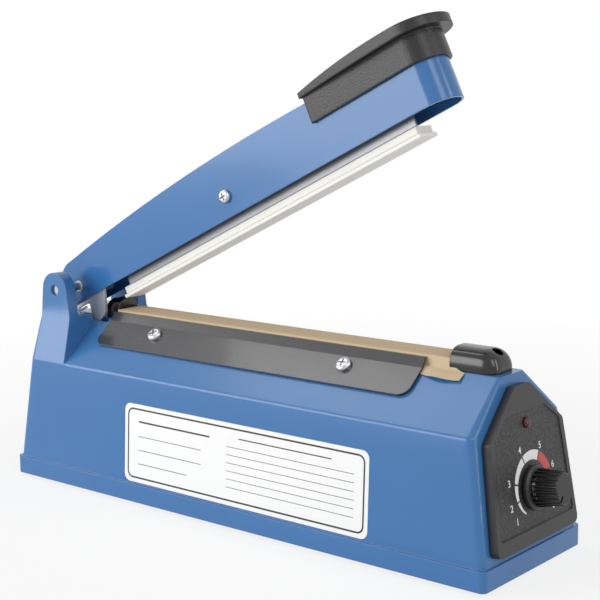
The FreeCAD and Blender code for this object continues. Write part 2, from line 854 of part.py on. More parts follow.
def make_grip():
    """Black grip: a skirt over the arm's nose under a flaring brim."""
    half = "(arm_half + seat_fit + grip_wall)"
    nose = "(arm_reach - arm_half)"
    skirt = new_body("grip_skirt")
    plan = [
        ("grip_start", f"-{half}"),
        (nose, f"-{half}"),
        (f"{nose} + {half}", "0", nose, half),
        ("grip_start", half),
    ]
    pad(skirt, outline(skirt, "XY_Plane", plan, "grip_low"), "brim_low - grip_low + 0.5")
    brim_side = new_body("brim_side")
    profile = [
        ("brim_start", "brim_low"),
        ("brim_nose_reach + 1", "brim_low"),
        ("brim_nose_reach + 1", "brim_nose_top"),
        ("(brim_start + brim_nose_reach) / 2 + 6", "brim_crown_top", "brim_start", "brim_start_top"),
    ]
    pad(brim_side, outline(brim_side, "XZ_Plane", profile), "brim_nose_width * 2", symmetric=True)
    brim_plan = new_body("brim_plan")
    swell = "(brim_nose_reach - brim_nose_width / 2)"
    flare = "(brim_start_width * 0.28 + brim_nose_width * 0.22 + 1.5)"
    plan = [
        ("brim_start", "-brim_start_width / 2"),
        (f"(brim_start + {swell} * 1.6) / 2.6", f"-{flare}", swell, "-brim_nose_width / 2"),
        ("brim_nose_reach", "0", swell, "brim_nose_width / 2"),
        (f"(brim_start + {swell} * 1.6) / 2.6", flare, "brim_start", "brim_start_width / 2"),
    ]
    pad(brim_plan, outline(brim_plan, "XY_Plane", plan), "arm_back * 4", symmetric=True)
    brim = boolean("Common", "grip_brim", brim_side, brim_plan)
    solid = boolean("Fuse", "grip_solid", skirt, brim)
    room = arm_form("grip_room", "-seat_fit", "arm_drop")
    hollow = boolean("Cut", "grip_hollow", solid, room)
    holes = [
        rod(f"{name}_socket", (reach, "0", "0"), "base_screw + screw_fit * 2", "brim_low + 2")
        for name, reach in GRIP_SCREWS
    ]
    node(boolean("Cut", "grip_cover", hollow, group("grip_sockets", holes)), "arm")
    screws = []
    for name, reach in GRIP_SCREWS:
        far_edge = f"({reach} + base_screw_head / 2 - arm_apex)"
        seat = f"(arm_back - arm_wall - arm_bow + sqrt(arm_bow ^ 2 - {far_edge} ^ 2) - running_fit)"
        spot = (reach, "0", seat)
        length = f"brim_low + 1 - {seat}"
        sizes = ("base_screw", length, "base_screw_head", "base_screw_head_height")
        screws.append(screw(name, spot, UPSIDE_DOWN, *sizes))
    node(group("grip_screws", screws), "arm")


def make_bar():
    """Aluminium pressure bar that rocks on the arm's side screw, and its silicone strip."""
    body = new_body("pressure_bar_section")
    half = "bar_width / 2"
    tenon = "(strip_tenon_width / 2 + screw_fit)"
    groove_top = "-bar_side_drop + strip_tenon_height + screw_fit"
    section = [
        (f"-{half}", "-bar_side_drop"),
        (f"-{tenon}", "-bar_side_drop"),
        (f"-{tenon}", groove_top),
        (tenon, groove_top),
        (tenon, "-bar_side_drop"),
        (half, "-bar_side_drop"),
        (half, "-bar_top_drop"),
        (f"-{half}", "-bar_top_drop"),
    ]
    pad(body, outline(body, "YZ_Plane", section, "bar_start"), "bar_length")
    lug_half = "bar_lug_length / 2"
    crown = "(bar_pivot_rise + pivot_screw_diameter)"
    lug = [
        (f"bar_pivot_reach - {lug_half}", "-bar_top_drop - 1"),
        (f"bar_pivot_reach + {lug_half}", "-bar_top_drop - 1"),
        ("bar_pivot_reach + pivot_screw_diameter", "bar_pivot_rise"),
        ("bar_pivot_reach", crown, "bar_pivot_reach - pivot_screw_diameter", "bar_pivot_rise"),
    ]
    pad(body, outline(body, "XZ_Plane", lug), "bar_lug_width", symmetric=True)
    eye = [("bar_pivot_reach", "bar_pivot_rise", "pivot_screw_diameter + running_fit * 2")]
    pocket(body, circles(body, "XZ_Plane", eye), "bar_width * 2", symmetric=True)
    node(body, "arm", "pressure_bar")

    strip = new_body("silicone_strip")
    low = "-strip_drop"
    section = [
        (f"-{half}", "-bar_side_drop"),
        (f"-{half}", f"{low} + strip_round"),
        (
            f"-{half} + strip_round * (1 - sqrt(0.5))",
            f"{low} + strip_round * (1 - sqrt(0.5))",
            f"-{half} + strip_round",
            low,
        ),
        (f"{half} - strip_round", low),
        (
            f"{half} - strip_round * (1 - sqrt(0.5))",
            f"{low} + strip_round * (1 - sqrt(0.5))",
            half,
            f"{low} + strip_round",
        ),
        (half, "-bar_side_drop"),
        ("strip_tenon_width / 2", "-bar_side_drop"),
        ("strip_tenon_width / 2", "-bar_side_drop + strip_tenon_height"),
        ("-strip_tenon_width / 2", "-bar_side_drop + strip_tenon_height"),
        ("-strip_tenon_width / 2", "-bar_side_drop"),
    ]
    pad(strip, outline(strip, "YZ_Plane", section, "strip_start"), "strip_length")
    node(strip, "arm")

    spot = ("bar_pivot_reach", "-arm_half", "bar_pivot_rise")
    length = "arm_width + pivot_nut_height + 1"
    sizes = ("pivot_screw_diameter", length, "pivot_screw_head", "pivot_screw_head_height")
    bolt = screw("pivot_bolt", spot, TO_FRONT, *sizes)
    node(group("bar_pivot_screw", [bolt]), "arm")
    nut = new_body("bar_pivot_nut")
    points = []
    for corner in range(6):
        reach = f"pivot_nut_width / 2 / cos(30) * cos({60 * corner})"
        rise = f"pivot_nut_width / 2 / cos(30) * sin({60 * corner})"
        points.append((f"bar_pivot_reach + {reach}", f"bar_pivot_rise + {rise}"))
    pad(nut, outline(nut, "XZ_Plane", points, "-arm_half"), "pivot_nut_height", backwards=True)
    bore = [("bar_pivot_reach", "bar_pivot_rise", "pivot_screw_diameter + screw_fit * 2")]
    pocket(nut, circles(nut, "XZ_Plane", bore), "arm_width * 3", symmetric=True)
    node(nut, "arm")


def make_bracket():
    """Bright steel plate welded inside the arm: a switch finger and a hook, below the arm's edge."""
    body = new_body("actuator_bracket")
    back = "(bracket_front - bracket_width)"
    hook_low = "(hook_top_drop + hook_height)"
    leg = "((hook_height - hook_slit) * 0.68)"
    path = [
        ("bracket_front - 1", "-bracket_shoulder_drop"),
        ("bracket_front", "-bracket_shoulder_drop + 1"),
        ("bracket_front + 6", "-arm_drop + 3"),
        ("bracket_front + 6", "3"),
        ("bracket_front", "bracket_head_rise"),
        (f"{back} + 3", "bracket_head_rise"),
        (f"{back} + 3", "-arm_drop"),
        (back, "-hook_top_drop"),
        ("-hook_reach + 2", "-hook_top_drop"),
        ("-hook_reach", "-hook_top_drop - 1"),
        ("-hook_reach + 0.6", f"-{hook_low}"),
        (f"{back} - 6", f"-{hook_low}"),
        (f"{back} - 6", f"-hook_top_drop - {leg} - hook_slit"),
        ("-hook_reach + 2.2", f"-hook_top_drop - {leg} - hook_slit"),
        ("-hook_reach + 2.2", f"-hook_top_drop - {leg}"),
        (f"{back} - 1", f"-hook_top_drop - {leg}"),
        (f"{back} - 3", "-bracket_shoulder_drop"),
        (back, "-bracket_tip_drop"),
    ]
    sketch = outline(body, "XZ_Plane", path, "bracket_outer")
    pad(body, sketch, "bracket_thickness", backwards=True)
    node(body, "arm")


def biarc(start, start_way, stop, stop_way):
    """Two arcs from point to point that keep both end directions."""
    gap = stop - start
    ways = start_way + stop_way
    square = 2 * (1 - start_way.dot(stop_way))
    linear = 2 * gap.dot(ways)
    constant = -gap.dot(gap)
    reach = (-linear + math.sqrt(linear * linear - 4 * square * constant)) / (2 * square)
    first_knee = start + start_way * reach
    last_knee = stop - stop_way * reach
    joint = (first_knee + last_knee) / 2
    arcs = []
    for begin, knee, end in ((start, first_knee, joint), (joint, last_knee, stop)):
        half_turn = (knee - begin).getAngle(end - knee) / 2
        radius = reach / math.tan(half_turn)
        inward = (begin + end) / 2 - knee
        inward.normalize()
        arcs.append(Part.Arc(begin, knee + inward * radius * (1 / math.cos(half_turn) - 1), end).toShape())
    return arcs


def make_spring():
    """Torsion spring round the pin, one wire: a leg to the housing, the coil, a leg under the arm's roof."""
    radius = value("spring_mean_diameter / 2")
    pitch = value("spring_pitch")
    quarters = int(value("spring_turns")) * 4
    slope = pitch / (2 * math.pi * radius)

    def turn(quarter):
        return quarter * math.pi / 2 - math.radians(value("open_angle"))

    def spot(quarter):
        depth = pitch * (quarter - quarters / 2) / 4
        return Vector(radius * math.cos(turn(quarter)), depth, radius * math.sin(turn(quarter)))

    def way(quarter):
        direction = Vector(-math.sin(turn(quarter)), slope, math.cos(turn(quarter)))
        direction.normalize()
        return direction

    foot = spot(0) - way(0) * value("pivot_height - top_height - spring_foot_gap")
    tip = spot(quarters) + way(quarters) * value("spring_arm_leg")
    edges = [Part.LineSegment(foot, spot(0)).toShape()]
    for quarter in range(quarters):
        edges += biarc(spot(quarter), way(quarter), spot(quarter + 1), way(quarter + 1))
    edges.append(Part.LineSegment(spot(quarters), tip).toShape())
    wire = Part.Wire(edges)
    section = Part.Wire(Part.Circle(foot, way(0), value("spring_wire / 2")).toShape())
    pipe = wire.makePipeShell([section], True, False)
    thing = DOC.addObject("Part::Feature", "return_spring")
    thing.Shape = pipe
    points = wire.discretize(Distance=0.25)
    apart = int(math.pi * radius / 0.25)
    gaps = []
    for index, point in enumerate(points):
        for other in points[index + apart :]:
            gaps.append(point.distanceToPoint(other))
    print(f"return spring: least gap between turns {min(gaps) - value('spring_wire'):.2f} mm")
    node(thing, "arm")


def over_shoulder(across, lift):
    """Height of a sheet lifted off the shoulder, at a distance from the middle."""
    return f"(top_height - (({across}) - top_y) * tan(shoulder_angle) + ({lift}) / cos(shoulder_angle))"


def make_deck(drills):
    """Sealing deck on the flat top, the tape and heating wire on it, and the release cloth over them."""
    deck = new_body("sealing_deck")
    half = "deck_width / 2"
    section = [
        (f"-{half}", "top_height"),
        (half, "top_height"),
        (half, "deck_top - deck_round"),
        (
            f"{half} - deck_round * (1 - sqrt(0.5))",
            "deck_top - deck_round * (1 - sqrt(0.5))",
            f"{half} - deck_round",
            "deck_top",
        ),
        (f"-{half} + deck_round", "deck_top"),
        (
            f"-{half} + deck_round * (1 - sqrt(0.5))",
            "deck_top - deck_round * (1 - sqrt(0.5))",
            f"-{half}",
            "deck_top - deck_round",
        ),
    ]
    sketch = outline(deck, "YZ_Plane", section, "-cloth_left_reach")
    pad(deck, sketch, "cloth_left_reach + cap_inner_end - 0.5")
    node(deck, "base")
    inner = "(cap_inner_end - 0.5)"
    tape = box(
        "insulating_tape_strip",
        ("-cloth_left_reach", "-tape_width / 2", "deck_top"),
        (inner, "tape_width / 2", "tape_top"),
    )
    node(group("insulating_tape", [tape]), "base")
    wire = box(
        "heating_wire_ribbon",
        ("-(left_cap_inner_end + wire_grip)", "-wire_width / 2", "tape_top"),
        ("cap_inner_end + wire_grip", "wire_width / 2", "wire_top"),
    )
    node(group("heating_wire", [wire]), "base")

    cloth = new_body("release_cloth_sheet")
    foot = "(top_y + cloth_skirt * cos(shoulder_angle))"

    def bend(lift):
        """Where the sheet lifted off the flat top meets the sheet lifted off the shoulder."""
        return f"(top_y + ({lift}) * (1 / cos(shoulder_angle) - 1) / tan(shoulder_angle))"

    face = "cloth_lift + cloth_thickness"
    right_half = [
        ("cloth_inner", "cloth_low"),
        ("cloth_inner", "top_height + cloth_lift"),
        (bend("cloth_lift"), "top_height + cloth_lift"),
        (foot, over_shoulder(foot, "cloth_lift")),
        (foot, over_shoulder(foot, face)),
        (bend(face), f"top_height + {face}"),
        ("cloth_outer", f"top_height + {face}"),
        ("cloth_outer", "cloth_top"),
    ]
    left_half = [(f"-{x}", y) for x, y in reversed(right_half)]
    sketch = outline(cloth, "YZ_Plane", right_half + left_half, "-cloth_left_reach")
    pad(cloth, sketch, "cloth_left_reach + cloth_right_reach")
    node(boolean("Cut", "release_cloth", cloth, group("cloth_holes", drills)), "base")


def make_clamps():
    """Black bent plates that hold the cloth's edges on both shoulders, and their screws."""
    for side, frame in (("front", "deck"), ("rear", "deck_rear")):
        plate = new_body(f"{side}_clamp_plate")
        rise = "plate_lift + plate_thickness"
        outer = "(lip_inner + plate_thickness * 1.15)"
        bend = "(plate_crease - plate_thickness * 0.76)"
        foot = "(top_y + plate_slope_length * cos(shoulder_angle))"
        under = f"({foot} - plate_thickness * sin(shoulder_angle))"
        section = [
            (f"-{bend}", over_shoulder(bend, "plate_lift")),
            ("-lip_inner", "top_height + plate_lip"),
            (f"-{outer}", "top_height + plate_lip"),
            ("-plate_crease", over_shoulder("plate_crease", rise)),
            (f"-{foot}", over_shoulder(foot, rise)),
            (f"-{under}", over_shoulder(under, "plate_lift")),
        ]
        pad(plate, outline(plate, "YZ_Plane", section), "plate_length", symmetric=True)

        def lower_corner(edge):
            point = middle(edge)
            at_end = abs(abs(point.x) - value("plate_length / 2")) < 0.01
            short = edge.Length < value("plate_thickness") * 1.5
            return at_end and short and point.z < value("top_height - 5")

        fillet(plate, "plate_corner", lower_corner)
        tools = []
        for place in ("+", "-"):
            tool = rod(
                f"{side}_plate_hole_{'right' if place == '+' else 'left'}",
                (
                    f"clamp_screw_shift {place} clamp_screw_spacing / 2",
                    "-(top_y + clamp_screw_down * cos(shoulder_angle))",
                    "top_height - clamp_screw_down * sin(shoulder_angle)",
                ),
                "clamp_screw_diameter + screw_fit * 2",
                "10",
            )
            tilt = Rotation(Vector(1, 0, 0), value("shoulder_angle"))
            tool.Placement = Placement(tool.Placement.Base, tilt)
            tool.setExpression("Placement.Rotation.Angle", bind("shoulder_angle"))
            tools.append(tool)
        drilled = boolean("Cut", f"{side}_plate_drilled", plate, group(f"{side}_plate_holes", tools))
        plate.Label = f"{side}_plate_sheet"
        node(drilled, frame, f"{side}_clamp_plate")
        seat = "(plate_lift + plate_thickness)"
        screws = []
        for place in ("+", "-"):
            spot = (
                f"clamp_screw_shift {place} clamp_screw_spacing / 2",
                f"-(top_y + clamp_screw_down * cos(shoulder_angle) + {seat} * sin(shoulder_angle))",
                f"top_height - clamp_screw_down * sin(shoulder_angle) + {seat} * cos(shoulder_angle)",
            )
            name = f"{side}_clamp_screw_{'right' if place == '+' else 'left'}"
            screws.append(
                screw(
                    name,
                    spot,
                    ON_SLOPE,
                    "clamp_screw_diameter",
                    "clamp_screw_length",
                    "clamp_screw_head",
                    "clamp_screw_head_height",
                )
            )
        node(group(f"{side}_clamp_screws", screws), frame)


def make_cap(label, width, length, inner_end, mirrored):
    """Half-round cap at one end of the deck, its outer end sloped, with a screw hole down through it."""
    body = new_body(label + "_shell")
    half = f"({width} / 2)"
    crown = "(top_height + cap_height)"
    path = [
        (f"-{half}", "top_height"),
        (half, "top_height"),
        (half, "top_height + cap_side"),
        ("0", crown, f"-{half}", "top_height + cap_side"),
    ]
    sign = "-" if mirrored else ""
    sketch = outline(body, "YZ_Plane", path, f"{sign}({inner_end})")
    pad(body, sketch, length, backwards=mirrored)

    end = f"({inner_end} + {length})"
    run = "cap_bevel * (1 + 1 / (cap_height - cap_side))"
    slope = [
        (f"{sign}{end}", "top_height + cap_side"),
        (f"{sign}({end} + 1)", "top_height + cap_side"),
        (f"{sign}({end} + 1)", f"{crown} + 1"),
        (f"{sign}({end} - {run})", f"{crown} + 1"),
    ]
    pocket(body, outline(body, "XZ_Plane", slope), "cap_width * 2", symmetric=True)

    def rim(edge):
        point = middle(edge)
        on_slope = edge.BoundBox.XLength > 0.5 and point.z > value("top_height + cap_side + 0.5")
        return on_slope and not along(edge, Vector(1, 0, 0))

    fillet(body, "cap_round", rim)
    room = rectangle(
        f"{sign}({inner_end} - 1)",
        f"-({half} - cap_wall - 1)",
        f"{sign}({end} - cap_bevel + cap_wall)",
        f"{half} - cap_wall - 1",
    )
    sketch = outline(body, "XY_Plane", room, "top_height")
    pocket(body, sketch, "wire_top - top_height + terminal_screw_head_height + 0.6", backwards=True)
    hole = [(f"{sign}({inner_end} + {length} - cap_hole_inset)", "0", "cap_hole")]
    sketch = circles(body, "XY_Plane", hole, "top_height + cap_height + 1")
    pocket(body, sketch, "cap_height + 2")
    node(body, "base", label)


def make_ends():
    """End caps over the wire's terminals, and the terminals with their screws."""
    make_cap("right_end_cap", "cap_width", "cap_length", "cap_inner_end", False)
    make_cap("left_end_cap", "left_cap_width", "left_cap_length", "left_cap_inner_end", True)
    screws = []
    for side, sign, inner_end in (("right", "", "cap_inner_end"), ("left", "-", "left_cap_inner_end")):
        near = f"({inner_end} + 0.6)"
        low_x, high_x = (near, f"{near} + terminal_length") if not sign else (
            f"-({near} + terminal_length)",
            f"-{near}",
        )
        block = box(
            f"{side}_terminal_block",
            (low_x, "-terminal_width / 2", "top_height"),
            (high_x, "terminal_width / 2", "tape_top"),
        )
        center = f"{sign}({near} + terminal_length / 2)"
        hole = rod(
            f"{side}_terminal_hole",
            (center, "0", "top_height + 0.5"),
            "terminal_screw + screw_fit * 2",
            "deck_height + 1",
        )
        node(boolean("Cut", f"{side}_terminal", block, hole), "base")
        screws.append(
            screw(
                f"{side}_terminal_screw",
                (center, "0", "wire_top"),
                UPRIGHT,
                "terminal_screw",
                "deck_height - 0.5",
                "terminal_screw_head",
                "terminal_screw_head_height",
            )
        )
    node(group("terminal_screws", screws), "base")


def panel_down(height):
    """Distance down the panel, from the knob's axis, of a height above the skirt's edge."""
    return f"(knob_height - ({height})) / cos(end_lean)"


def make_panel():
    """Black panel on the end wall with a sunk field, the red lamp and its holder."""
    body = new_body("control_panel")

    def path(kind):
        """Six corners from the top, shoulder and bottom sizes of the panel or its field."""
        right = [
            (panel_down(f"{kind}_{place}_height"), f"{kind}_{place}_width / 2")
            for place in ("top", "shoulder", "bottom")
        ]
        return right + [(x, f"-({y})") for x, y in reversed(right)]

    def field_edge(edge):
        return along(edge, Vector(0, 0, 1)) and abs(edge.Length - value("panel_field_depth")) < 0.01

    pad(body, outline(body, "XY_Plane", path("panel")), "panel_thickness", backwards=True)
    fillet(body, "panel_corner", lambda edge: along(edge, Vector(0, 0, 1)))
    pocket(body, outline(body, "XY_Plane", path("field")), "panel_field_depth")
    fillet(body, "field_corner", field_edge)
    holes = [
        ("0", "0", "pot_bush + screw_fit * 4"),
        (panel_down("lamp_height"), "0", "lamp_diameter + screw_fit * 2"),
    ]
    pocket(body, circles(body, "XY_Plane", holes), "panel_thickness * 4", symmetric=True)
    node(body, "panel")

    lens = new_body("indicator_lens_turning")
    rim = "-panel_thickness"
    path = [
        ("0", f"{rim} - 1"),
        ("lamp_rim / 2", f"{rim} - 1"),
        ("lamp_rim / 2", rim),
        ("lamp_diameter / 2", rim),
        ("lamp_diameter / 2", "0"),
        ("lamp_diameter * 0.36", "lamp_proud * 0.72", "lamp_diameter * 0.1", "lamp_proud"),
        ("0", "lamp_proud"),
    ]
    revolve(lens, outline(lens, "XZ_Plane", path))
    lens.setExpression("Placement.Base.x", bind(panel_down("lamp_height")))
    node(group("indicator_lens", [lens]), "panel")
    holder = new_body("lamp_holder_turning")
    path = [
        ("lamp_rim / 2 + screw_fit", rim),
        ("lamp_holder / 2", rim),
        ("lamp_holder / 2", f"{rim} - lamp_holder_length"),
        ("0", f"{rim} - lamp_holder_length"),
        ("0", f"{rim} - 1 - screw_fit"),
        ("lamp_rim / 2 + screw_fit", f"{rim} - 1 - screw_fit"),
    ]
    revolve(holder, outline(holder, "XZ_Plane", path))
    holder.setExpression("Placement.Base.x", bind(panel_down("lamp_height")))
    node(group("lamp_holder", [holder]), "panel")


def make_timer():
    """Timer behind the panel: knob, shaft, potentiometer, nut, board and its components."""
    knob = new_body("timer_knob")
    low = "knob_gap"
    high = "(knob_gap + knob_length)"
    path = [
        ("shaft_diameter / 2", f"{low} + knob_well_depth"),
        ("knob_well / 2", f"{low} + knob_well_depth"),
        ("knob_well / 2", low),
        ("knob_collar / 2", low),
        ("knob_collar / 2", f"{low} + knob_collar_height * 0.6"),
        ("knob_base / 2 + 0.3", f"{low} + knob_collar_height"),
        ("knob_base / 2", f"{low} + knob_collar_height"),
        ("knob_tip / 2", f"{high} - 0.8"),
        ("knob_tip / 2 - 0.8", high),
        ("0", high),
        ("0", f"{high} - 2.5"),
        ("shaft_diameter / 2", f"{high} - 2.5"),
    ]
    revolve(knob, outline(knob, "XZ_Plane", path))
    flute = (
        "knob_flute_center * cos(180 / knob_flutes)",
        "knob_flute_center * sin(180 / knob_flutes)",
        "knob_flute_diameter",
    )
    sketch = circles(knob, "XY_Plane", [flute], f"{high} + 1")
    groove = pocket(knob, sketch, "knob_length - knob_collar_height - 0.4 + 1")
    DOC.recompute()
    ring = knob.newObject("PartDesign::PolarPattern", "knob_flute_ring")
    ring.Originals = [groove]
    ring.Angle = 360
    ring.setExpression("Occurrences", bind("knob_flutes"))
    axis_line = next(feature for feature in knob.Origin.OriginFeatures if feature.Role == "Z_Axis")
    ring.Axis = (axis_line, [""])
    knob.Tip = ring
    half = "knob_pointer_width / 2"
    pointer = [
        (
            f"({out}) * cos(knob_pointer_angle) - ({side}) * sin(knob_pointer_angle)",
            f"({out}) * sin(knob_pointer_angle) + ({side}) * cos(knob_pointer_angle)",
        )
        for out, side in rectangle("knob_pointer_start", f"-{half}", "knob_pointer_end", half)
    ]
    pocket(knob, outline(knob, "XY_Plane", pointer, high), "knob_pointer_depth")
    node(knob, "panel")

    shaft = rod("shaft_rod", ("0", "0", f"{high} - 2.5 - shaft_length"), "shaft_diameter", "shaft_length")
    node(group("potentiometer_shaft", [shaft]), "panel")

    pot = new_body("potentiometer")
    bore = "(shaft_diameter / 2 + running_fit)"
    stop = f"({high} - 2.5 - shaft_length - 0.3)"
    path = [
        ("0", "pot_rear"),
        ("pot_diameter / 2", "pot_rear"),
        ("pot_diameter / 2", "pot_front"),
        ("pot_bush / 2", "pot_front"),
        ("pot_bush / 2", "pot_thread_proud"),
        (bore, "pot_thread_proud"),
        (bore, stop),
        ("0", stop),
    ]
    revolve(pot, outline(pot, "XZ_Plane", path))
    node(pot, "panel")

    nut = new_body("potentiometer_nut")
    points = []
    for corner in range(6):
        reach = f"pot_nut_width / 2 / cos(30) * cos({60 * corner})"
        side = f"pot_nut_width / 2 / cos(30) * sin({60 * corner})"
        points.append((reach, side))
    pad(nut, outline(nut, "XY_Plane", points, "-panel_field_depth"), "pot_nut_height")
    bore = [("0", "0", "pot_bush + screw_fit * 2")]
    pocket(nut, circles(nut, "XY_Plane", bore), "pot_nut_height * 6", symmetric=True)
    node(nut, "panel")

    board = box(
        "timer_board_sheet",
        ("-board_length / 2", "-board_width / 2", "board_rear"),
        ("board_length / 2", "board_width / 2", "pot_rear"),
    )
    node(group("timer_board", [board]), "panel")
    rear = "board_rear"
    relay = box(
        "relay",
        ("-board_length / 2 + 3", "-board_width / 2 + 4", f"{rear} - relay_height"),
        ("-board_length / 2 + 3 + relay_length", "-board_width / 2 + 4 + relay_width", rear),
    )
    triac = box(
        "triac",
        ("board_length / 2 - 8", "-board_width / 2 + 6", f"{rear} - triac_length"),
        ("board_length / 2 - 8 + triac_thickness", "-board_width / 2 + 6 + triac_width", rear),
    )
    cans = []
    for number in range(2):
        place = f"-8 + {number} * (capacitor_diameter + 4)"
        spot = (place, "board_width / 2 - 10", f"{rear} - capacitor_height")
        cans.append(rod(f"capacitor_{number + 1}", spot, "capacitor_diameter", "capacitor_height"))
    node(group("board_components", [relay, triac] + cans), "panel")


def make_transformer():
    """Transformer on the base plate: laminated core, coil, strap and screws."""
    core = new_body("transformer_core")
    low = "plate_top"
    high = "(plate_top + core_height)"
    left = "(core_center - core_length / 2)"
    right = "(core_center + core_length / 2)"
    pad(core, outline(core, "XZ_Plane", rectangle(left, low, right, high)), "core_stack", symmetric=True)
    for start, stop in (
        (f"{left} + core_yoke", "core_center - core_leg / 2"),
        ("core_center + core_leg / 2", f"{right} - core_yoke"),
    ):
        window = rectangle(start, f"{low} + core_yoke", stop, f"{high} - core_yoke")
        pocket(core, outline(core, "XZ_Plane", window), "core_stack * 2", symmetric=True)
    node(core, "base")

    coil = new_body("transformer_coil")
    half_x = "(core_length / 2 - core_yoke - coil_margin)"
    half_y = "(core_stack / 2 + coil_overhang)"
    path = rectangle(f"core_center - {half_x}", f"-{half_y}", f"core_center + {half_x}", half_y)
    sketch = outline(coil, "XY_Plane", path, f"{low} + core_yoke + coil_margin")
    pad(coil, sketch, "core_height - core_yoke * 2 - coil_margin * 2")
    fillet(coil, "coil_overhang * 0.7", lambda edge: along(edge, Vector(0, 0, 1)))
    leg = rectangle(
        "core_center - core_leg / 2 - coil_margin / 2",
        "-core_stack / 2 - coil_margin / 2",
        "core_center + core_leg / 2 + coil_margin / 2",
        "core_stack / 2 + coil_margin / 2",
    )
    pocket(coil, outline(coil, "XY_Plane", leg, low), "core_height", backwards=True)
    node(coil, "base")

    strap = new_body("transformer_strap")
    thick = "strap_thickness"
    gap = "seat_fit"
    path = [
        (f"{left} - {gap}", low),
        (f"{left} - {gap}", f"{high} + {gap}"),
        (f"{right} + {gap}", f"{high} + {gap}"),
        (f"{right} + {gap}", low),
        (f"{right} + strap_foot", low),
        (f"{right} + strap_foot", f"{low} + {thick}"),
        (f"{right} + {gap} + {thick}", f"{low} + {thick}"),
        (f"{right} + {gap} + {thick}", f"{high} + {gap} + {thick}"),
        (f"{left} - {gap} - {thick}", f"{high} + {gap} + {thick}"),
        (f"{left} - {gap} - {thick}", f"{low} + {thick}"),
        (f"{left} - strap_foot", f"{low} + {thick}"),
        (f"{left} - strap_foot", low),
    ]
    pad(strap, outline(strap, "XZ_Plane", path), "strap_width", symmetric=True)
    spots = [(f"{left} - strap_foot / 2 - 1", "0"), (f"{right} + strap_foot / 2 + 1", "0")]
    holes = circles(strap, "XY_Plane", [(x, y, "strap_screw + screw_fit * 2") for x, y in spots])
    pocket(strap, holes, f"{low} + {thick} + 1", backwards=True)
    node(strap, "base")
    screws = []
    for name, (x, y) in zip(("left", "right"), spots):
        spot = (x, y, f"{low} + {thick}")
        screws.append(
            screw(
                f"strap_screw_{name}",
                spot,
                UPRIGHT,
                "strap_screw",
                "strap_thickness - 0.1",
                "strap_screw_head",
                "strap_screw_head_height",
            )
        )
    node(group("transformer_screws", screws), "base")


def make_switch():
    """Lever switch under the arm's bracket: body, lever, sheet bracket and screws."""
    top = "switch_top"
    right = "(lever_pivot_x + 3)"
    left = f"({right} - switch_length)"
    low = f"({top} - switch_height)"
    body = new_body("micro_switch")
    lug = "switch_lug / 2"
    path = [
        (left, low),
        (right, low),
        (right, f"{top} - 0.5"),
        (f"lever_pivot_x + {lug}", "lever_pivot_height"),
        ("lever_pivot_x", f"lever_pivot_height + {lug}", f"lever_pivot_x - {lug}", "lever_pivot_height"),
        (f"lever_pivot_x - {lug} - 0.5", f"{top} - 0.5"),
        (left, f"{top} - 0.5"),
    ]
    sketch = outline(body, "XZ_Plane", path, "-(switch_y)")
    pad(body, sketch, "switch_width", symmetric=True)
    mouth = rectangle(
        f"{left} - 1",
        f"{top} - 0.5",
        f"{right} + 1",
        "lever_pivot_height + switch_lug",
    )
    sketch = outline(body, "XZ_Plane", mouth, "-(switch_y)")
    pocket(body, sketch, "lever_width + 1.2", symmetric=True)
    hole = [("lever_pivot_x", "lever_pivot_height", "lever_pin + running_fit * 2")]
    pocket(body, circles(body, "XZ_Plane", hole, "-(switch_y)"), "switch_width * 2", symmetric=True)
    middle_x = f"({left} + {right}) / 2"
    spots = [(f"{middle_x} {sign} switch_screw_spacing / 2", f"{low} + 4") for sign in "+-"]
    holes = [(x, z, "switch_screw + screw_fit * 2") for x, z in spots]
    pocket(body, circles(body, "XZ_Plane", holes, "-(switch_y)"), "switch_width * 2", symmetric=True)
    node(body, "base")

    blade = new_body("lever_blade")
    pad(blade, circles(blade, "XZ_Plane", [("0", "0", "lever_eye")]), "lever_width", symmetric=True)
    strip = rectangle("-lever_length", "-lever_thickness / 2", "0", "lever_thickness / 2")
    pad(blade, outline(blade, "XZ_Plane", strip), "lever_width", symmetric=True)
    pad(blade, circles(blade, "XZ_Plane", [("0", "0", "lever_pin")]), "switch_width - 0.6", symmetric=True)
    blade.Placement = Placement(Vector(), Rotation(Vector(0, 1, 0), value("lever_rise")))
    blade.setExpression("Placement.Rotation.Angle", bind("lever_rise"))
    blade.setExpression("Placement.Base.x", bind("lever_pivot_x"))
    blade.setExpression("Placement.Base.y", bind("switch_y"))
    blade.setExpression("Placement.Base.z", bind("lever_pivot_height"))
    node(group("switch_lever", [blade]), "base")

    sheet = new_body("switch_bracket")
    face = "(switch_y + switch_width / 2)"
    path = [
        (face, "plate_top"),
        (f"{face} + switch_bracket_foot", "plate_top"),
        (f"{face} + switch_bracket_foot", "plate_top + switch_bracket_thickness"),
        (f"{face} + switch_bracket_thickness", "plate_top + switch_bracket_thickness"),
        (f"{face} + switch_bracket_thickness", f"{top} - 2"),
        (face, f"{top} - 2"),
    ]
    pad(sheet, outline(sheet, "YZ_Plane", path, left), "switch_length")
    pocket(sheet, circles(sheet, "XZ_Plane", holes), "housing_depth * 2", symmetric=True)
    node(sheet, "base")
    screws = []
    for number, (x, z) in enumerate(spots, start=1):
        spot = (x, "switch_y - switch_width / 2", z)
        length = "switch_width + switch_bracket_thickness"
        screws.append(
            screw(
                f"switch_screw_{number}",
                spot,
                TO_FRONT,
                "switch_screw",
                length,
                "switch_screw_head",
                "switch_screw_head_height",
            )
        )
    node(group("switch_screws", screws), "base")


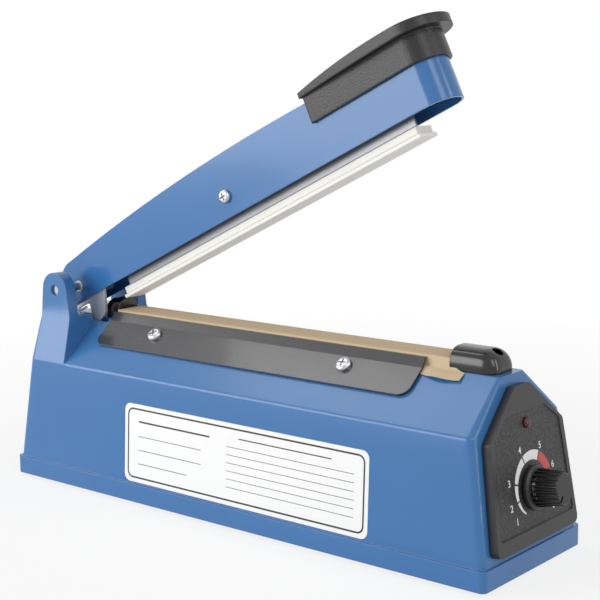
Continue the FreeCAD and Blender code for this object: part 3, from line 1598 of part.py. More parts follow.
def make_bottom():
    """Steel base plate, its screws and the rubber feet."""
    body = new_body("base_plate")
    half_x = f"({wall_x('skirt_height')} - housing_wall - base_plate_inset)"
    half_y = f"({wall_y('skirt_height')} - housing_wall - base_plate_inset)"
    path = rounded_rectangle(half_x, half_y, "wall_corner - housing_wall / 2")
    pad(body, outline(body, "XY_Plane", path, "plate_low"), "base_plate_thickness")
    holes = [(x, y, "base_screw + screw_fit * 2") for x, y in BOSSES]
    pocket(body, circles(body, "XY_Plane", holes), "base_plate_thickness * 8", symmetric=True)
    node(body, "base")
    screws = []
    feet = []
    for number, (x, y) in enumerate(BOSSES, start=1):
        spot = (x, y, "plate_low")
        screws.append(
            screw(
                f"base_screw_{number}",
                spot,
                UPSIDE_DOWN,
                "base_screw",
                "base_screw_length",
                "base_screw_head",
                "base_screw_head_height",
            )
        )
        foot = new_body(f"foot_{number}")
        path = [
            ("0", "-foot_drop"),
            ("foot_tip_diameter / 2", "-foot_drop"),
            ("foot_diameter / 2", "plate_low - 0.4"),
            ("foot_diameter / 2", "plate_low"),
            ("0", "plate_low"),
        ]
        revolve(foot, outline(foot, "XZ_Plane", path))
        foot.setExpression("Placement.Base.x", bind(x.replace("boss_x", "foot_x")))
        foot.setExpression("Placement.Base.y", bind(y.replace("boss_y", "foot_y")))
        feet.append(foot)
    node(group("base_screws", screws), "base")
    node(group("rubber_feet", feet), "base")


def make_cord_bush():
    """Rubber bush in the hinge-end wall, with a bore for the supply cord."""
    body = new_body("cord_bush")
    path = [
        ("cord_bore / 2", "-cord_bush_length + cord_bush_flange_thickness"),
        ("cord_bush_neck / 2", "-cord_bush_length + cord_bush_flange_thickness"),
        ("cord_bush_neck / 2", "0"),
        ("cord_bush_flange / 2", "0"),
        ("cord_bush_flange / 2", "cord_bush_flange_thickness * 0.5"),
        ("cord_bush_flange / 2 - 1.2", "cord_bush_flange_thickness"),
        ("cord_bore / 2", "cord_bush_flange_thickness"),
    ]
    revolve(body, outline(body, "XZ_Plane", path))
    node(body, "hinge_end")


def check_model():
    """Stop if any feature failed, any cut removed nothing, or any sub-part isn't sound."""
    DOC.recompute()
    for thing in DOC.Objects:
        if "Invalid" in thing.State or "Error" in thing.State:
            raise RuntimeError(f"{thing.Label} failed: {thing.State}")
        if thing.TypeId == "PartDesign::Pocket" and thing.BaseFeature:
            if thing.Shape.Volume > thing.BaseFeature.Shape.Volume - 1e-6:
                raise RuntimeError(f"{thing.Label} cuts nothing")
    for thing in NODES:
        if thing.Shape.isNull() or not thing.Shape.isValid() or not thing.Shape.Solids:
            raise RuntimeError(f"{thing.Label} isn't a sound solid")


def write_parts():
    """Write each sub-part to its own file."""
    os.makedirs("parts", exist_ok=True)
    for thing in NODES:
        thing.Shape.exportStep(os.path.join("parts", thing.Label + ".step"))
        print(f"{thing.Label}: {len(thing.Shape.Solids)} solids, {thing.Shape.Volume / 1000:.2f} cm3")


fill_sheet()
CLAMP_DRILLS = clamp_drills()
make_housing(CLAMP_DRILLS)
make_pin()
make_arm()
make_bushes()
make_grip()
make_bar()
make_bracket()
make_spring()
make_deck(CLAMP_DRILLS)
make_clamps()
make_ends()
make_panel()
make_timer()
make_transformer()
make_switch()
make_bottom()
make_cord_bush()
check_model()
write_parts()
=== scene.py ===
import json
import logging
import math
from contextlib import contextmanager
from dataclasses import dataclass, replace
from enum import Enum
from typing import Any, Callable, Iterator, Sequence

import bpy
from mathutils import Matrix, Vector

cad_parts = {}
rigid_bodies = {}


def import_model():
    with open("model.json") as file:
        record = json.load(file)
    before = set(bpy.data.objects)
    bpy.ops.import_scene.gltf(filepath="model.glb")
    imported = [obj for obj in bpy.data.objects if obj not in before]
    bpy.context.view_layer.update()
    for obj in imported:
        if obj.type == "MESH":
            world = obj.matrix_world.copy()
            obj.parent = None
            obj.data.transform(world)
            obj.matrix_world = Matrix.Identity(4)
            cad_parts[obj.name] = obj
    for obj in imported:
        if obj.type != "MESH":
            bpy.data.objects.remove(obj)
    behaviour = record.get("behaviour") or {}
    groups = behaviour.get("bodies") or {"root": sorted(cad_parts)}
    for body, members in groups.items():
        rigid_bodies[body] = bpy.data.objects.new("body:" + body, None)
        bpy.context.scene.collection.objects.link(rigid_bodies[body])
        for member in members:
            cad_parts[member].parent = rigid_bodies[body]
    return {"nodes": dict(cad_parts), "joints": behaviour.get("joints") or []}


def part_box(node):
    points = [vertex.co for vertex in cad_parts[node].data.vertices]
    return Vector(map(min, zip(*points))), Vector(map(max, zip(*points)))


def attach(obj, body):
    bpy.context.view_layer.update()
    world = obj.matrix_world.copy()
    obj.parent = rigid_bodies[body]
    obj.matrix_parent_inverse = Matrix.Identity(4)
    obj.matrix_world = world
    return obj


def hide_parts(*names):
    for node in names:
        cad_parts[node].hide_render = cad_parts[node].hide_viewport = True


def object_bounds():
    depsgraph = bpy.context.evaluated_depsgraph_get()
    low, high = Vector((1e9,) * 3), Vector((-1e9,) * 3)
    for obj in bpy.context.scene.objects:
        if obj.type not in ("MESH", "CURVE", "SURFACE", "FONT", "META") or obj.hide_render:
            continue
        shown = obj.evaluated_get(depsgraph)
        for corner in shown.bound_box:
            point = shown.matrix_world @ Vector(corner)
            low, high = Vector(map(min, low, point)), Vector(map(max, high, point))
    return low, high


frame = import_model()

CAD_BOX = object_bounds()
MM = 0.001
LOG = logging.getLogger("sealer")

Tree = bpy.types.NodeTree
Socket = bpy.types.NodeSocket
Piece = bpy.types.Object

# In metres: a length too small to matter, and the distance at which a CAD mesh's points are welded.
TINY = 1e-6
WELD = 0.000002
# A face looks up where its normal's Z is over this.
UPWARD = 0.9

HOUSING_LOW, HOUSING_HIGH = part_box("housing")
HOUSING_MIDDLE = (HOUSING_LOW.x + HOUSING_HIGH.x) / 2
JOINT_PLACES = {joint["name"]: Vector(joint["pos_m"]) for joint in frame["joints"]}
ARM_PIVOT = JOINT_PLACES["arm_hinge"]
KNOB_SEAT = JOINT_PLACES["timer_knob_turn"]
# How far the arm stands open, and how far the housing's end wall, side walls and shoulders lean.
OPEN_DEGREES = 25.1
OPEN_ANGLE = math.radians(OPEN_DEGREES)
END_LEAN = math.radians(8.13)
SIDE_LEAN = math.radians(3.55)
SHOULDER_LEAN = math.radians(38.98)
# Height of the housing's flat top over its skirt's lower edge, in millimetres.
HOUSING_TOP = 90.5
# Depth of the panel's sunk field, in millimetres.
FIELD_DEPTH = 0.6
ARM_PLACE = Matrix.Translation(ARM_PIVOT) @ Matrix.Rotation(OPEN_ANGLE, 4, Vector((0, -1, 0)))
PANEL_PLACE = Matrix.Translation(KNOB_SEAT) @ Matrix.Rotation(math.pi / 2 - END_LEAN, 4, Vector((0, 1, 0)))


class Element(Enum):
    """What edit mode selects."""

    VERTEX = "VERT"
    EDGE = "EDGE"
    FACE = "FACE"


class Body(Enum):
    """Bodies that carry the pieces made here."""

    BASE = "base"
    ARM = "arm"
    BAR = "pressure_bar"
    KNOB = "knob"


def linear(code: str) -> tuple[float, float, float, float]:
    """Turn an sRGB hex code into linear colour.

    Args:
        code: Six hex digits with a leading hash.

    Returns:
        Red, green, blue and an alpha of one.
    """
    parts = [int(code[i : i + 2], 16) / 255 for i in (1, 3, 5)]
    red, green, blue = (p / 12.92 if p <= 0.04045 else ((p + 0.055) / 1.055) ** 2.4 for p in parts)
    return red, green, blue, 1.0


def add_node(
    tree: Tree,
    kind: str,
    settings: dict[str, Any] | None = None,
    inputs: dict[str | int, Any] | None = None,
) -> bpy.types.Node:
    """Add a shader node with its settings, values and links.

    Args:
        tree: Tree that takes the node.
        kind: Blender's name of the node's class.
        settings: Properties of the node itself.
        inputs: Input name or number to a value, or to the output socket that feeds it.

    Returns:
        The new node.
    """
    made = tree.nodes.new(kind)
    for name, value in (settings or {}).items():
        setattr(made, name, value)
    for name, value in (inputs or {}).items():
        if isinstance(value, Socket):
            tree.links.new(value, made.inputs[name])
        else:
            made.inputs[name].default_value = value
    return made


@dataclass(frozen=True)
class Finish:
    """A real material's surface; its patterns are sized in millimetres.

    The colour drifts to the mottle and back, the grain is the bump of the surface, and edge is the
    radius at which light rounds its corners.
    """

    name: str
    color: str
    mottle: str
    mottle_size: float = 10.0
    roughness: float = 0.45
    swing: float = 0.05
    swing_fineness: float = 2.5
    grain_size: float = 1.0
    grain_height: float = 0.006
    metallic: float = 0.0
    ior: float = 1.5
    specular: float = 0.5
    transmission: float = 0.0
    coat: float = 0.0
    coat_roughness: float = 0.08
    edge: float = 0.3
    edge_samples: int = 6

    def material(self) -> bpy.types.Material:
        """Build the finish once and hand out the same material after that.

        Returns:
            The finish's material.
        """
        known = bpy.data.materials.get(self.name)
        if known is not None:
            return known
        made = bpy.data.materials.new(self.name)
        made.use_nodes = True
        made.diffuse_color = linear(self.color)
        tree = made.node_tree
        inputs = tree.nodes["Principled BSDF"].inputs
        values = {
            "Metallic": self.metallic,
            "Transmission Weight": self.transmission,
            "Coat Weight": self.coat,
            "Coat Roughness": self.coat_roughness,
        }
        if not self.metallic:
            values |= {"IOR": self.ior, "Specular IOR Level": self.specular}
        for name, value in values.items():
            inputs[name].default_value = value
        place = add_node(tree, "ShaderNodeTexCoord").outputs["Object"]
        tree.links.new(self.tone(tree, place), inputs["Base Color"])
        tree.links.new(self.gloss(tree, place), inputs["Roughness"])
        tree.links.new(self.relief(tree, place), inputs["Normal"])
        return made

    def tone(self, tree: Tree, place: Socket) -> Socket:
        """Colour that drifts between two near tones.

        Args:
            tree: Material's tree.
            place: Object coordinates, in metres.

        Returns:
            Colour socket.
        """
        inputs = {"Vector": place, "Scale": 1 / (self.mottle_size * MM), "Detail": 3.0}
        cloud = add_node(tree, "ShaderNodeTexNoise", inputs=inputs).outputs["Fac"]
        inputs = {0: cloud, 6: linear(self.color), 7: linear(self.mottle)}
        return add_node(tree, "ShaderNodeMix", {"data_type": "RGBA"}, inputs).outputs[2]

    def gloss(self, tree: Tree, place: Socket) -> Socket:
        """Roughness that swings a little over the surface, in finer spots than the mottle's.

        Args:
            tree: Material's tree.
            place: Object coordinates, in metres.

        Returns:
            Value socket.
        """
        scale = self.swing_fineness / (self.mottle_size * MM)
        cloud = add_node(
            tree, "ShaderNodeTexNoise", inputs={"Vector": place, "Scale": scale, "Detail": 4.0}
        )
        inputs = {
            "Value": cloud.outputs["Fac"],
            "To Min": self.roughness - self.swing,
            "To Max": self.roughness + self.swing,
        }
        return add_node(tree, "ShaderNodeMapRange", inputs=inputs).outputs["Result"]

    def relief(self, tree: Tree, place: Socket) -> Socket:
        """Surface normal with rounded corners and the grain on top.

        Args:
            tree: Material's tree.
            place: Object coordinates, in metres.

        Returns:
            Normal socket.
        """
        settings = {"samples": self.edge_samples}
        corner = add_node(tree, "ShaderNodeBevel", settings, {"Radius": self.edge * MM})
        inputs = {
            "Height": self.height(tree, place),
            "Distance": self.grain_height * MM,
            "Strength": 1.0,
            "Normal": corner.outputs["Normal"],
        }
        return add_node(tree, "ShaderNodeBump", inputs=inputs).outputs["Normal"]

    def height(self, tree: Tree, place: Socket) -> Socket:
        """Height of the grain, from zero to one."""
        inputs = {"Vector": place, "Scale": 1 / (self.grain_size * MM), "Detail": 2.0}
        return add_node(tree, "ShaderNodeTexNoise", inputs=inputs).outputs["Fac"]


@dataclass(frozen=True)
class DrawnMetal(Finish):
    """Metal with fine lines along one direction, as left by drawing or extruding it."""

    line_turn: float = 0.0
    line_length: float = 40.0
    line_width: float = 0.35

    def height(self, tree: Tree, place: Socket) -> Socket:
        """Long thin streaks that follow the drawing direction.

        Args:
            tree: Material's tree.
            place: Object coordinates, in metres.

        Returns:
            Value socket.
        """
        fine = 1 / (self.line_width * MM)
        inputs = {
            "Vector": place,
            "Rotation": (0.0, math.radians(self.line_turn), 0.0),
            "Scale": (1 / (self.line_length * MM), fine, fine),
        }
        drawn = add_node(tree, "ShaderNodeMapping", inputs=inputs).outputs["Vector"]
        inputs = {"Vector": drawn, "Scale": 1.0, "Detail": 2.0}
        return add_node(tree, "ShaderNodeTexNoise", inputs=inputs).outputs["Fac"]


@dataclass(frozen=True)
class SparkGrain(Finish):
    """Moulded plastic from a spark-eroded tool: small round pits, close together."""

    pit_smoothness: float = 0.6

    def height(self, tree: Tree, place: Socket) -> Socket:
        """Rounded cells the size of the pits."""
        inputs = {"Vector": place, "Scale": 1 / (self.grain_size * MM), "Smoothness": self.pit_smoothness}
        return add_node(tree, "ShaderNodeTexVoronoi", {"feature": "SMOOTH_F1"}, inputs).outputs["Distance"]


@dataclass(frozen=True)
class SunkGrain(SparkGrain):
    """Panel moulding: the border is smooth, and only the field sunk below it is grained."""

    field_depth: float = FIELD_DEPTH
    field_color: str = "#171718"
    # Painted glints: a lighter colour painted on the tops of the grain in the field.
    fleck_color: str = "#3C3C3D"
    fleck_start: float = 0.25
    fleck_end: float = 0.75
    field_roughness: float = 0.55

    def field_share(self, tree: Tree, place: Socket) -> Socket:
        """One in the sunk field, zero on the border.

        Args:
            tree: Material's tree.
            place: Object coordinates, in metres.

        Returns:
            Value socket.
        """
        outward = (math.cos(END_LEAN), 0.0, math.sin(END_LEAN))
        kind = "ShaderNodeVectorMath"
        inside = add_node(tree, kind, {"operation": "SUBTRACT"}, {0: place, 1: tuple(KNOB_SEAT)}).outputs[0]
        depth = add_node(tree, kind, {"operation": "DOT_PRODUCT"}, {0: inside, 1: outward})
        inputs = {0: depth.outputs["Value"], 1: -self.field_depth * MM, 2: self.field_depth / 3 * MM}
        return add_node(tree, "ShaderNodeMath", {"operation": "COMPARE"}, inputs).outputs[0]

    def tone(self, tree: Tree, place: Socket) -> Socket:
        """Border tone, and in the field a darker one with painted glints: a lighter colour painted on the
        tops of the grain.

        Args:
            tree: Material's tree.
            place: Object coordinates, in metres.

        Returns:
            Colour socket.
        """
        grain = super().height(tree, place)
        # Painted glints: the higher the grain, the more of the lighter colour.
        inputs = {"Value": grain, "From Min": self.fleck_start, "From Max": self.fleck_end}
        painted_glint = add_node(tree, "ShaderNodeMapRange", inputs=inputs).outputs["Result"]
        inputs = {0: painted_glint, 6: linear(self.field_color), 7: linear(self.fleck_color)}
        field = add_node(tree, "ShaderNodeMix", {"data_type": "RGBA"}, inputs).outputs[2]
        inputs = {0: self.field_share(tree, place), 6: super().tone(tree, place), 7: field}
        return add_node(tree, "ShaderNodeMix", {"data_type": "RGBA"}, inputs).outputs[2]

    def gloss(self, tree: Tree, place: Socket) -> Socket:
        """Half gloss on the border, duller in the field."""
        inputs = {0: self.field_share(tree, place), 2: super().gloss(tree, place), 3: self.field_roughness}
        return add_node(tree, "ShaderNodeMix", inputs=inputs).outputs[0]

    def height(self, tree: Tree, place: Socket) -> Socket:
        """Grain in the field only."""
        inputs = {0: super().height(tree, place), 1: self.field_share(tree, place)}
        return add_node(tree, "ShaderNodeMath", {"operation": "MULTIPLY"}, inputs).outputs[0]


@dataclass(frozen=True)
class CoatedCloth(Finish):
    """Plain weave of glass yarn under a tan non-stick coat, drawn on the sheet's own map.

    The real yarns are about 0.4 mm apart; they are drawn at 0.9 mm so that they show.
    """

    yarn: float = 0.9

    def height(self, tree: Tree, place: Socket) -> Socket:
        """Over and under of the yarns, from two crossed waves.

        Args:
            tree: Material's tree.
            place: Object coordinates, which the weave doesn't follow.

        Returns:
            Value socket.
        """
        flat = add_node(tree, "ShaderNodeTexCoord").outputs["UV"]
        parts = add_node(tree, "ShaderNodeSeparateXYZ", inputs={0: flat}).outputs
        pace = math.pi / (self.yarn * MM)
        product = {"operation": "MULTIPLY"}
        waves = []
        for axis in ("X", "Y"):
            phase = add_node(tree, "ShaderNodeMath", product, {0: parts[axis], 1: pace}).outputs[0]
            waves.append(add_node(tree, "ShaderNodeMath", {"operation": "SINE"}, {0: phase}).outputs[0])
        return add_node(tree, "ShaderNodeMath", product, dict(enumerate(waves))).outputs[0]


# ABS moulded in a polished tool: even blue, glossy, with the faintest ripple in its reflections.
BLUE_ABS = Finish(
    "moulded_blue_abs", "#3A70AA", "#4077B0", mottle_size=60, roughness=0.22, swing=0.03, grain_size=3.0,
    specular=0.4, coat=0.12, edge=0.9,
)
# Stoved enamel on steel sheet: the same blue, a little orange peel.
BLUE_ENAMEL = Finish(
    "stoved_blue_enamel", "#376EA9", "#3C74AF", mottle_size=60, roughness=0.2, swing=0.03, grain_size=2.2,
    grain_height=0.01, specular=0.4, coat=0.2, edge=0.5,
)
# Polypropylene from a spark-eroded tool: charcoal, satin, its corners worn a shade smoother.
GRIP_PLASTIC = SparkGrain(
    "grained_polypropylene", "#18181A", "#232325", mottle_size=3, roughness=0.36, swing=0.08,
    grain_size=0.9, grain_height=0.07, specular=0.45, edge=1.3,
)
# Extruded aluminium, left as it comes from the die: satin grey with lines along the bar.
EXTRUDED_ALUMINIUM = DrawnMetal(
    "extruded_aluminium", "#848589", "#98999C", mottle_size=25, roughness=0.38, swing=0.06,
    grain_height=0.02, metallic=0.85, line_turn=-OPEN_DEGREES,
)
# Extruded silicone rubber: milky white with a soft, even sheen.
SILICONE = Finish(
    "extruded_silicone", "#F6F4EE", "#EFECE4", mottle_size=18, grain_size=0.9, grain_height=0.008, edge=0.4
)
# Zinc plate over turned steel: bright, slightly cloudy.
ZINC_PLATE = Finish(
    "zinc_plated_steel", "#B4B5B8", "#C6C7CA", mottle_size=6, roughness=0.28, swing=0.06, grain_size=0.8,
    grain_height=0.004, metallic=1.0, edge=0.25,
)
# Cold-rolled sheet with a dull bright plate: light grey, broad soft reflections.
BRIGHT_SHEET = Finish(
    "bright_sheet_steel", "#B9BCC1", "#CBCED2", mottle_size=8, roughness=0.4, swing=0.06, grain_size=0.9,
    metallic=0.55,
)
# Drawn aluminium strip: pale grey with fine lines along its length.
DRAWN_DECK = DrawnMetal(
    "drawn_aluminium", "#A9AAAC", "#B8B9BB", mottle_size=25, roughness=0.34, swing=0.06,
    grain_height=0.012, metallic=0.9,
)
# Glass cloth under a fluoropolymer coat: tan, waxy, with the weave just showing.
CLOTH = CoatedCloth(
    "coated_glass_cloth", "#CDB48C", "#DAC39E", mottle_size=22, roughness=0.42, swing=0.06,
    grain_height=0.06, edge=0.1,
)
# Black stove enamel on folded sheet: a grey sheen where it faces the light, darker along the fold.
BLACK_ENAMEL = Finish(
    "black_stove_enamel", "#252528", "#2E2E32", mottle_size=26, roughness=0.26, coat=0.5, edge=0.35
)
# Polished black ABS: deep black with sharp highlights.
GLOSS_BLACK = Finish(
    "polished_black_abs", "#070708", "#0C0C0D", mottle_size=30, roughness=0.2, swing=0.04, grain_size=2.0,
    grain_height=0.004, coat=0.2, edge=0.8,
)
# ABS panel: a smooth border round a sunk field with coarse spark grain, and painted glints on the grain's
# tops.
PANEL_PLASTIC = SunkGrain(
    "grained_panel_abs", "#252527", "#2C2C2E", mottle_size=12, roughness=0.4, grain_size=1.1,
    grain_height=0.14, edge=0.5,
)
# Phenolic knob: jet black, half matt, turned smooth on its face.
KNOB_PLASTIC = Finish("moulded_phenolic", "#0D0D0D", "#141414", roughness=0.42, grain_size=0.6, edge=0.25)
# Tinted acrylic over an unlit lamp: nearly black red, a little clear, with a small sharp highlight.
LENS = Finish(
    "tinted_acrylic", "#4C0709", "#5A0A0D", mottle_size=5, roughness=0.08, swing=0.02, grain_size=2.0,
    grain_height=0.001, transmission=0.1, edge=0.1,
)
# Turned nylon: off-white, waxy.
NYLON = Finish("turned_nylon", "#E9E8E3", "#F0EFEA", mottle_size=8, grain_size=0.8)
# Moulded rubber: dull black.
RUBBER = Finish(
    "moulded_rubber", "#191919", "#202020", mottle_size=8, roughness=0.7, swing=0.06, grain_size=0.6,
    grain_height=0.02, edge=0.4,
)
# Turned brass: warm yellow, half bright.
BRASS = Finish(
    "turned_brass", "#B08D45", "#BD9A52", mottle_size=8, roughness=0.3, swing=0.06, grain_size=0.8,
    grain_height=0.004, metallic=1.0, edge=0.2,
)
# Stacked silicon steel: dark grey with the edges of the sheets as lines.
IRON = DrawnMetal(
    "stacked_core_steel", "#3B3B3D", "#48484A", mottle_size=12, roughness=0.5, swing=0.06,
    grain_height=0.03, metallic=0.6, edge=0.2,
)
# Enamelled copper wire, wound: brown copper with the turns as ridges.
COPPER = DrawnMetal(
    "wound_enamelled_copper", "#9A5527", "#AD6532", roughness=0.35, grain_height=0.06, metallic=0.8,
    edge=0.4,
)
# Glass-epoxy laminate under green lacquer: even, half gloss.
BOARD = Finish(
    "lacquered_laminate", "#1E6B3C", "#237545", mottle_size=15, grain_size=0.7, grain_height=0.005, edge=0.1
)
# Moulded thermoset: near black, half matt.
MOULDED_BLACK = Finish("moulded_thermoset", "#1B1B1D", "#222224", grain_size=0.8, grain_height=0.01)
# Galvanised sheet: cool grey, cloudy with spangle.
GALVANISED = Finish(
    "galvanised_sheet", "#9EA1A3", "#B3B6B8", mottle_size=9, roughness=0.42, swing=0.08, grain_size=2.0,
    metallic=0.9, edge=0.2,
)
# White vinyl film: clean white, half gloss.
WHITE_VINYL = Finish(
    "white_vinyl_film", "#F4F4F3", "#F8F8F7", mottle_size=40, roughness=0.36, swing=0.04, grain_size=1.5,
    grain_height=0.002, edge=0.05,
)
# Screen inks: flat colour, dry, slightly uneven.
BLACK_INK = Finish(
    "black_screen_ink", "#1D1D1D", "#242424", mottle_size=15, roughness=0.4, grain_size=0.6,
    grain_height=0.002, edge=0.05,
)
WHITE_INK = Finish(
    "white_screen_ink", "#ECECEA", "#F2F2F0", mottle_size=8, roughness=0.5, grain_size=0.5,
    grain_height=0.004, edge=0.05,
)
RED_INK = replace(WHITE_INK, name="red_screen_ink", color="#C24A45", mottle="#CB5650")
# Glass tape with a resin backing: brown, half matt.
TAPE = Finish(
    "resin_glass_tape", "#7C5A34", "#8A663E", roughness=0.5, grain_size=0.8, grain_height=0.02, edge=0.1
)
# Rolled nickel-chrome ribbon: warm grey, half bright.
RIBBON = DrawnMetal("rolled_nickel_chrome", "#8E8C88", "#9A9894", roughness=0.3, metallic=1.0, edge=0.05)


def on_base(x: float, y: float, z: float) -> Vector:
    """Point given in millimetres from the housing's middle and its skirt's lower edge."""
    return Vector((HOUSING_MIDDLE + x * MM, y * MM, HOUSING_LOW.z + z * MM))


def ramp(value: float, start: float, end: float) -> float:
    """Share of the way from a start to an end, from 0 to 1."""
    return min(max((value - start) / (end - start), 0.0), 1.0)


def deselect() -> None:
    """Leave edit mode and drop every selection."""
    if bpy.context.object is not None and bpy.context.object.mode != "OBJECT":
        bpy.ops.object.mode_set(mode="OBJECT")
    bpy.ops.object.select_all(action="DESELECT")


def activate(piece: Piece) -> None:
    """Make a piece the only selected and active one.

    Args:
        piece: Piece to select.
    """
    deselect()
    piece.select_set(True)
    bpy.context.view_layer.objects.active = piece


@contextmanager
def editing(piece: Piece, element: Element, test: Callable[[Any], bool]) -> Iterator[None]:
    """Edit a piece with the elements selected that pass a test.

    Args:
        piece: Piece to edit.
        element: What is selected.
        test: Takes a vertex, edge or polygon of the mesh.
    """
    activate(piece)
    mesh = piece.data
    groups = {Element.VERTEX: mesh.vertices, Element.EDGE: mesh.edges, Element.FACE: mesh.polygons}
    for group in groups.values():
        group.foreach_set("select", [False] * len(group))
    chosen = [bool(test(item)) for item in groups[element]]
    groups[element].foreach_set("select", chosen)
    bpy.context.tool_settings.mesh_select_mode = tuple(element is kind for kind in Element)
    bpy.ops.object.mode_set(mode="EDIT")
    yield
    bpy.ops.object.mode_set(mode="OBJECT")


def every(_: Any) -> bool:
    """Test that every element passes."""
    return True


def primitive(add: Callable[..., Any], name: str, **settings: Any) -> Piece:
    """Add one of Blender's ready shapes, a lamp or the camera.

    Args:
        add: Blender's operator.
        name: New object's name.
        settings: What the operator is told.

    Returns:
        The new object, selected and active.
    """
    deselect()
    add(**settings)
    made = bpy.context.object
    made.name = name
    return made


def block(name: str, size: Vector, middle: Vector) -> Piece:
    """Make a box that lies square to the axes.

    Args:
        name: Box's name.
        size: Its size, in millimetres.
        middle: Its middle, in millimetres.

    Returns:
        The box.
    """
    made = primitive(bpy.ops.mesh.primitive_cube_add, name, size=1, location=middle * MM)
    made.scale = size * MM
    bpy.ops.object.transform_apply(location=True, rotation=True, scale=True)
    return made


def copy_of(piece: Piece) -> Piece:
    """Copy a piece, with a mesh of its own.

    Args:
        piece: Piece to copy.

    Returns:
        The copy, selected and active.
    """
    activate(piece)
    bpy.ops.object.duplicate(linked=False)
    return bpy.context.object


def settle(piece: Piece, place: Matrix) -> None:
    """Carry a piece modelled at the origin to its place, and keep the place in its mesh.

    Args:
        piece: Piece to carry.
        place: Where its origin goes.
    """
    activate(piece)
    piece.matrix_world = place @ piece.matrix_world
    bpy.ops.object.transform_apply(location=True, rotation=True, scale=True)


def apply_modifier(piece: Piece, kind: str, **settings: Any) -> None:
    """Add a modifier, set it and apply it.

    Args:
        piece: Piece that it changes.
        kind: Blender's name of the modifier's kind.
        settings: Properties of the modifier.
    """
    activate(piece)
    made = piece.modifiers.new(kind.lower(), kind)
    for name, value in settings.items():
        setattr(made, name, value)
    bpy.ops.object.modifier_apply(modifier=made.name)


def cut(piece: Piece, cutter: Piece) -> None:
    """Take a cutter's shape out of a piece, and remove the cutter."""
    apply_modifier(piece, "BOOLEAN", operation="DIFFERENCE", object=cutter, solver="EXACT")
    bpy.data.objects.remove(cutter)


def join(pieces: Sequence[Piece], name: str) -> Piece:
    """Join pieces into the first of them.

    Args:
        pieces: One piece or more.
        name: Joined piece's name.

    Returns:
        The joined piece.
    """
    activate(pieces[0])
    for piece in pieces[1:]:
        piece.select_set(True)
    if len(pieces) > 1:
        bpy.ops.object.join()
    pieces[0].name = name
    return pieces[0]


def extrude_up(height: float) -> None:
    """Draw the selected faces up by a height in millimetres."""
    bpy.ops.mesh.extrude_region_move(TRANSFORM_OT_translate={"value": (0, 0, height * MM)})


def face_outward(piece: Piece) -> None:
    """Turn every face of a piece outward."""
    with editing(piece, Element.FACE, every):
        bpy.ops.mesh.normals_make_consistent(inside=False)


def dress(piece: Piece, finish: Finish, smooth: float = 35.0) -> None:
    """Give a piece its finish and smooth it.

    Args:
        piece: Piece to dress.
        finish: Its finish.
        smooth: Edges flatter than this are smoothed, in degrees.
    """
    piece.data.materials.clear()
    piece.data.materials.append(finish.material())
    activate(piece)
    bpy.ops.object.shade_smooth_by_angle(angle=math.radians(smooth))


def hand_over(piece: Piece, body: Body, slot: str | None, *nodes: str) -> None:
    """Let a piece ride on its body, and hide the CAD nodes that it replaces.

    Args:
        piece: Finished piece.
        body: Body that carries it.
        slot: Record's finish slot, if it has one; not used.
        nodes: CAD nodes that it replaces.
    """
    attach(piece, body.value)
    if nodes:
        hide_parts(*nodes)
    LOG.info("%s rides on %s", piece.name, body.value)


def smooth_skin(node: str, body: Body, slot: str, finish: Finish, angle: float = 35.0) -> Piece:
    """Stand a welded, smooth-shaded copy in for a CAD node.

    Args:
        node: CAD node's name.
        body: Body that carries it.
        slot: Record's finish slot.
        finish: Finish of the copy.
        angle: Edges flatter than this are smoothed, in degrees.

    Returns:
        The copy.
    """
    piece = copy_of(frame["nodes"][node])
    bpy.ops.object.parent_clear(type="CLEAR_KEEP_TRANSFORM")
    for key in list(piece.keys()):
        del piece[key]
    piece.name = f"{node}_skin"
    bpy.ops.mesh.customdata_custom_splitnormals_clear()
    with editing(piece, Element.VERTEX, every):
        bpy.ops.mesh.remove_doubles(threshold=WELD)
    dress(piece, finish, angle)
    hand_over(piece, body, slot, node)
    return piece


@dataclass(frozen=True)
class SoftBox:
    """One soft box: where it stands and its size in metres, and its power in watts."""

    name: str
    spot: tuple[float, float, float]
    width: float
    height: float
    power: float

    def build(self, aim: Vector) -> None:
        """Set the box up.

        Args:
            aim: Point that it faces, in metres.
        """
        lamp = primitive(bpy.ops.object.light_add, self.name, type="AREA", location=self.spot)
        lamp.data.shape = "RECTANGLE"
        lamp.data.size = self.width
        lamp.data.size_y = self.height
        lamp.data.energy = self.power
        lamp.rotation_mode = "QUATERNION"
        lamp.rotation_quaternion = (Vector(self.spot) - aim).to_track_quat("Z", "Y")


# A wide key from the left front, a small fill from the right, one over the shoulder, a strip for the edges.
SOFT_BOXES = (
    SoftBox("key_box", (-0.95, -1.3, 0.5), width=1.5, height=0.9, power=19.0),
    SoftBox("fill_box", (0.95, -0.52, 0.78), width=0.4, height=0.8, power=2.9),
    SoftBox("shoulder_box", (-0.62, -0.1, 1.2), width=0.6, height=0.6, power=2.6),
    SoftBox("edge_strip", (1.2, 0.25, 0.5), width=0.25, height=1.0, power=3.6),
)


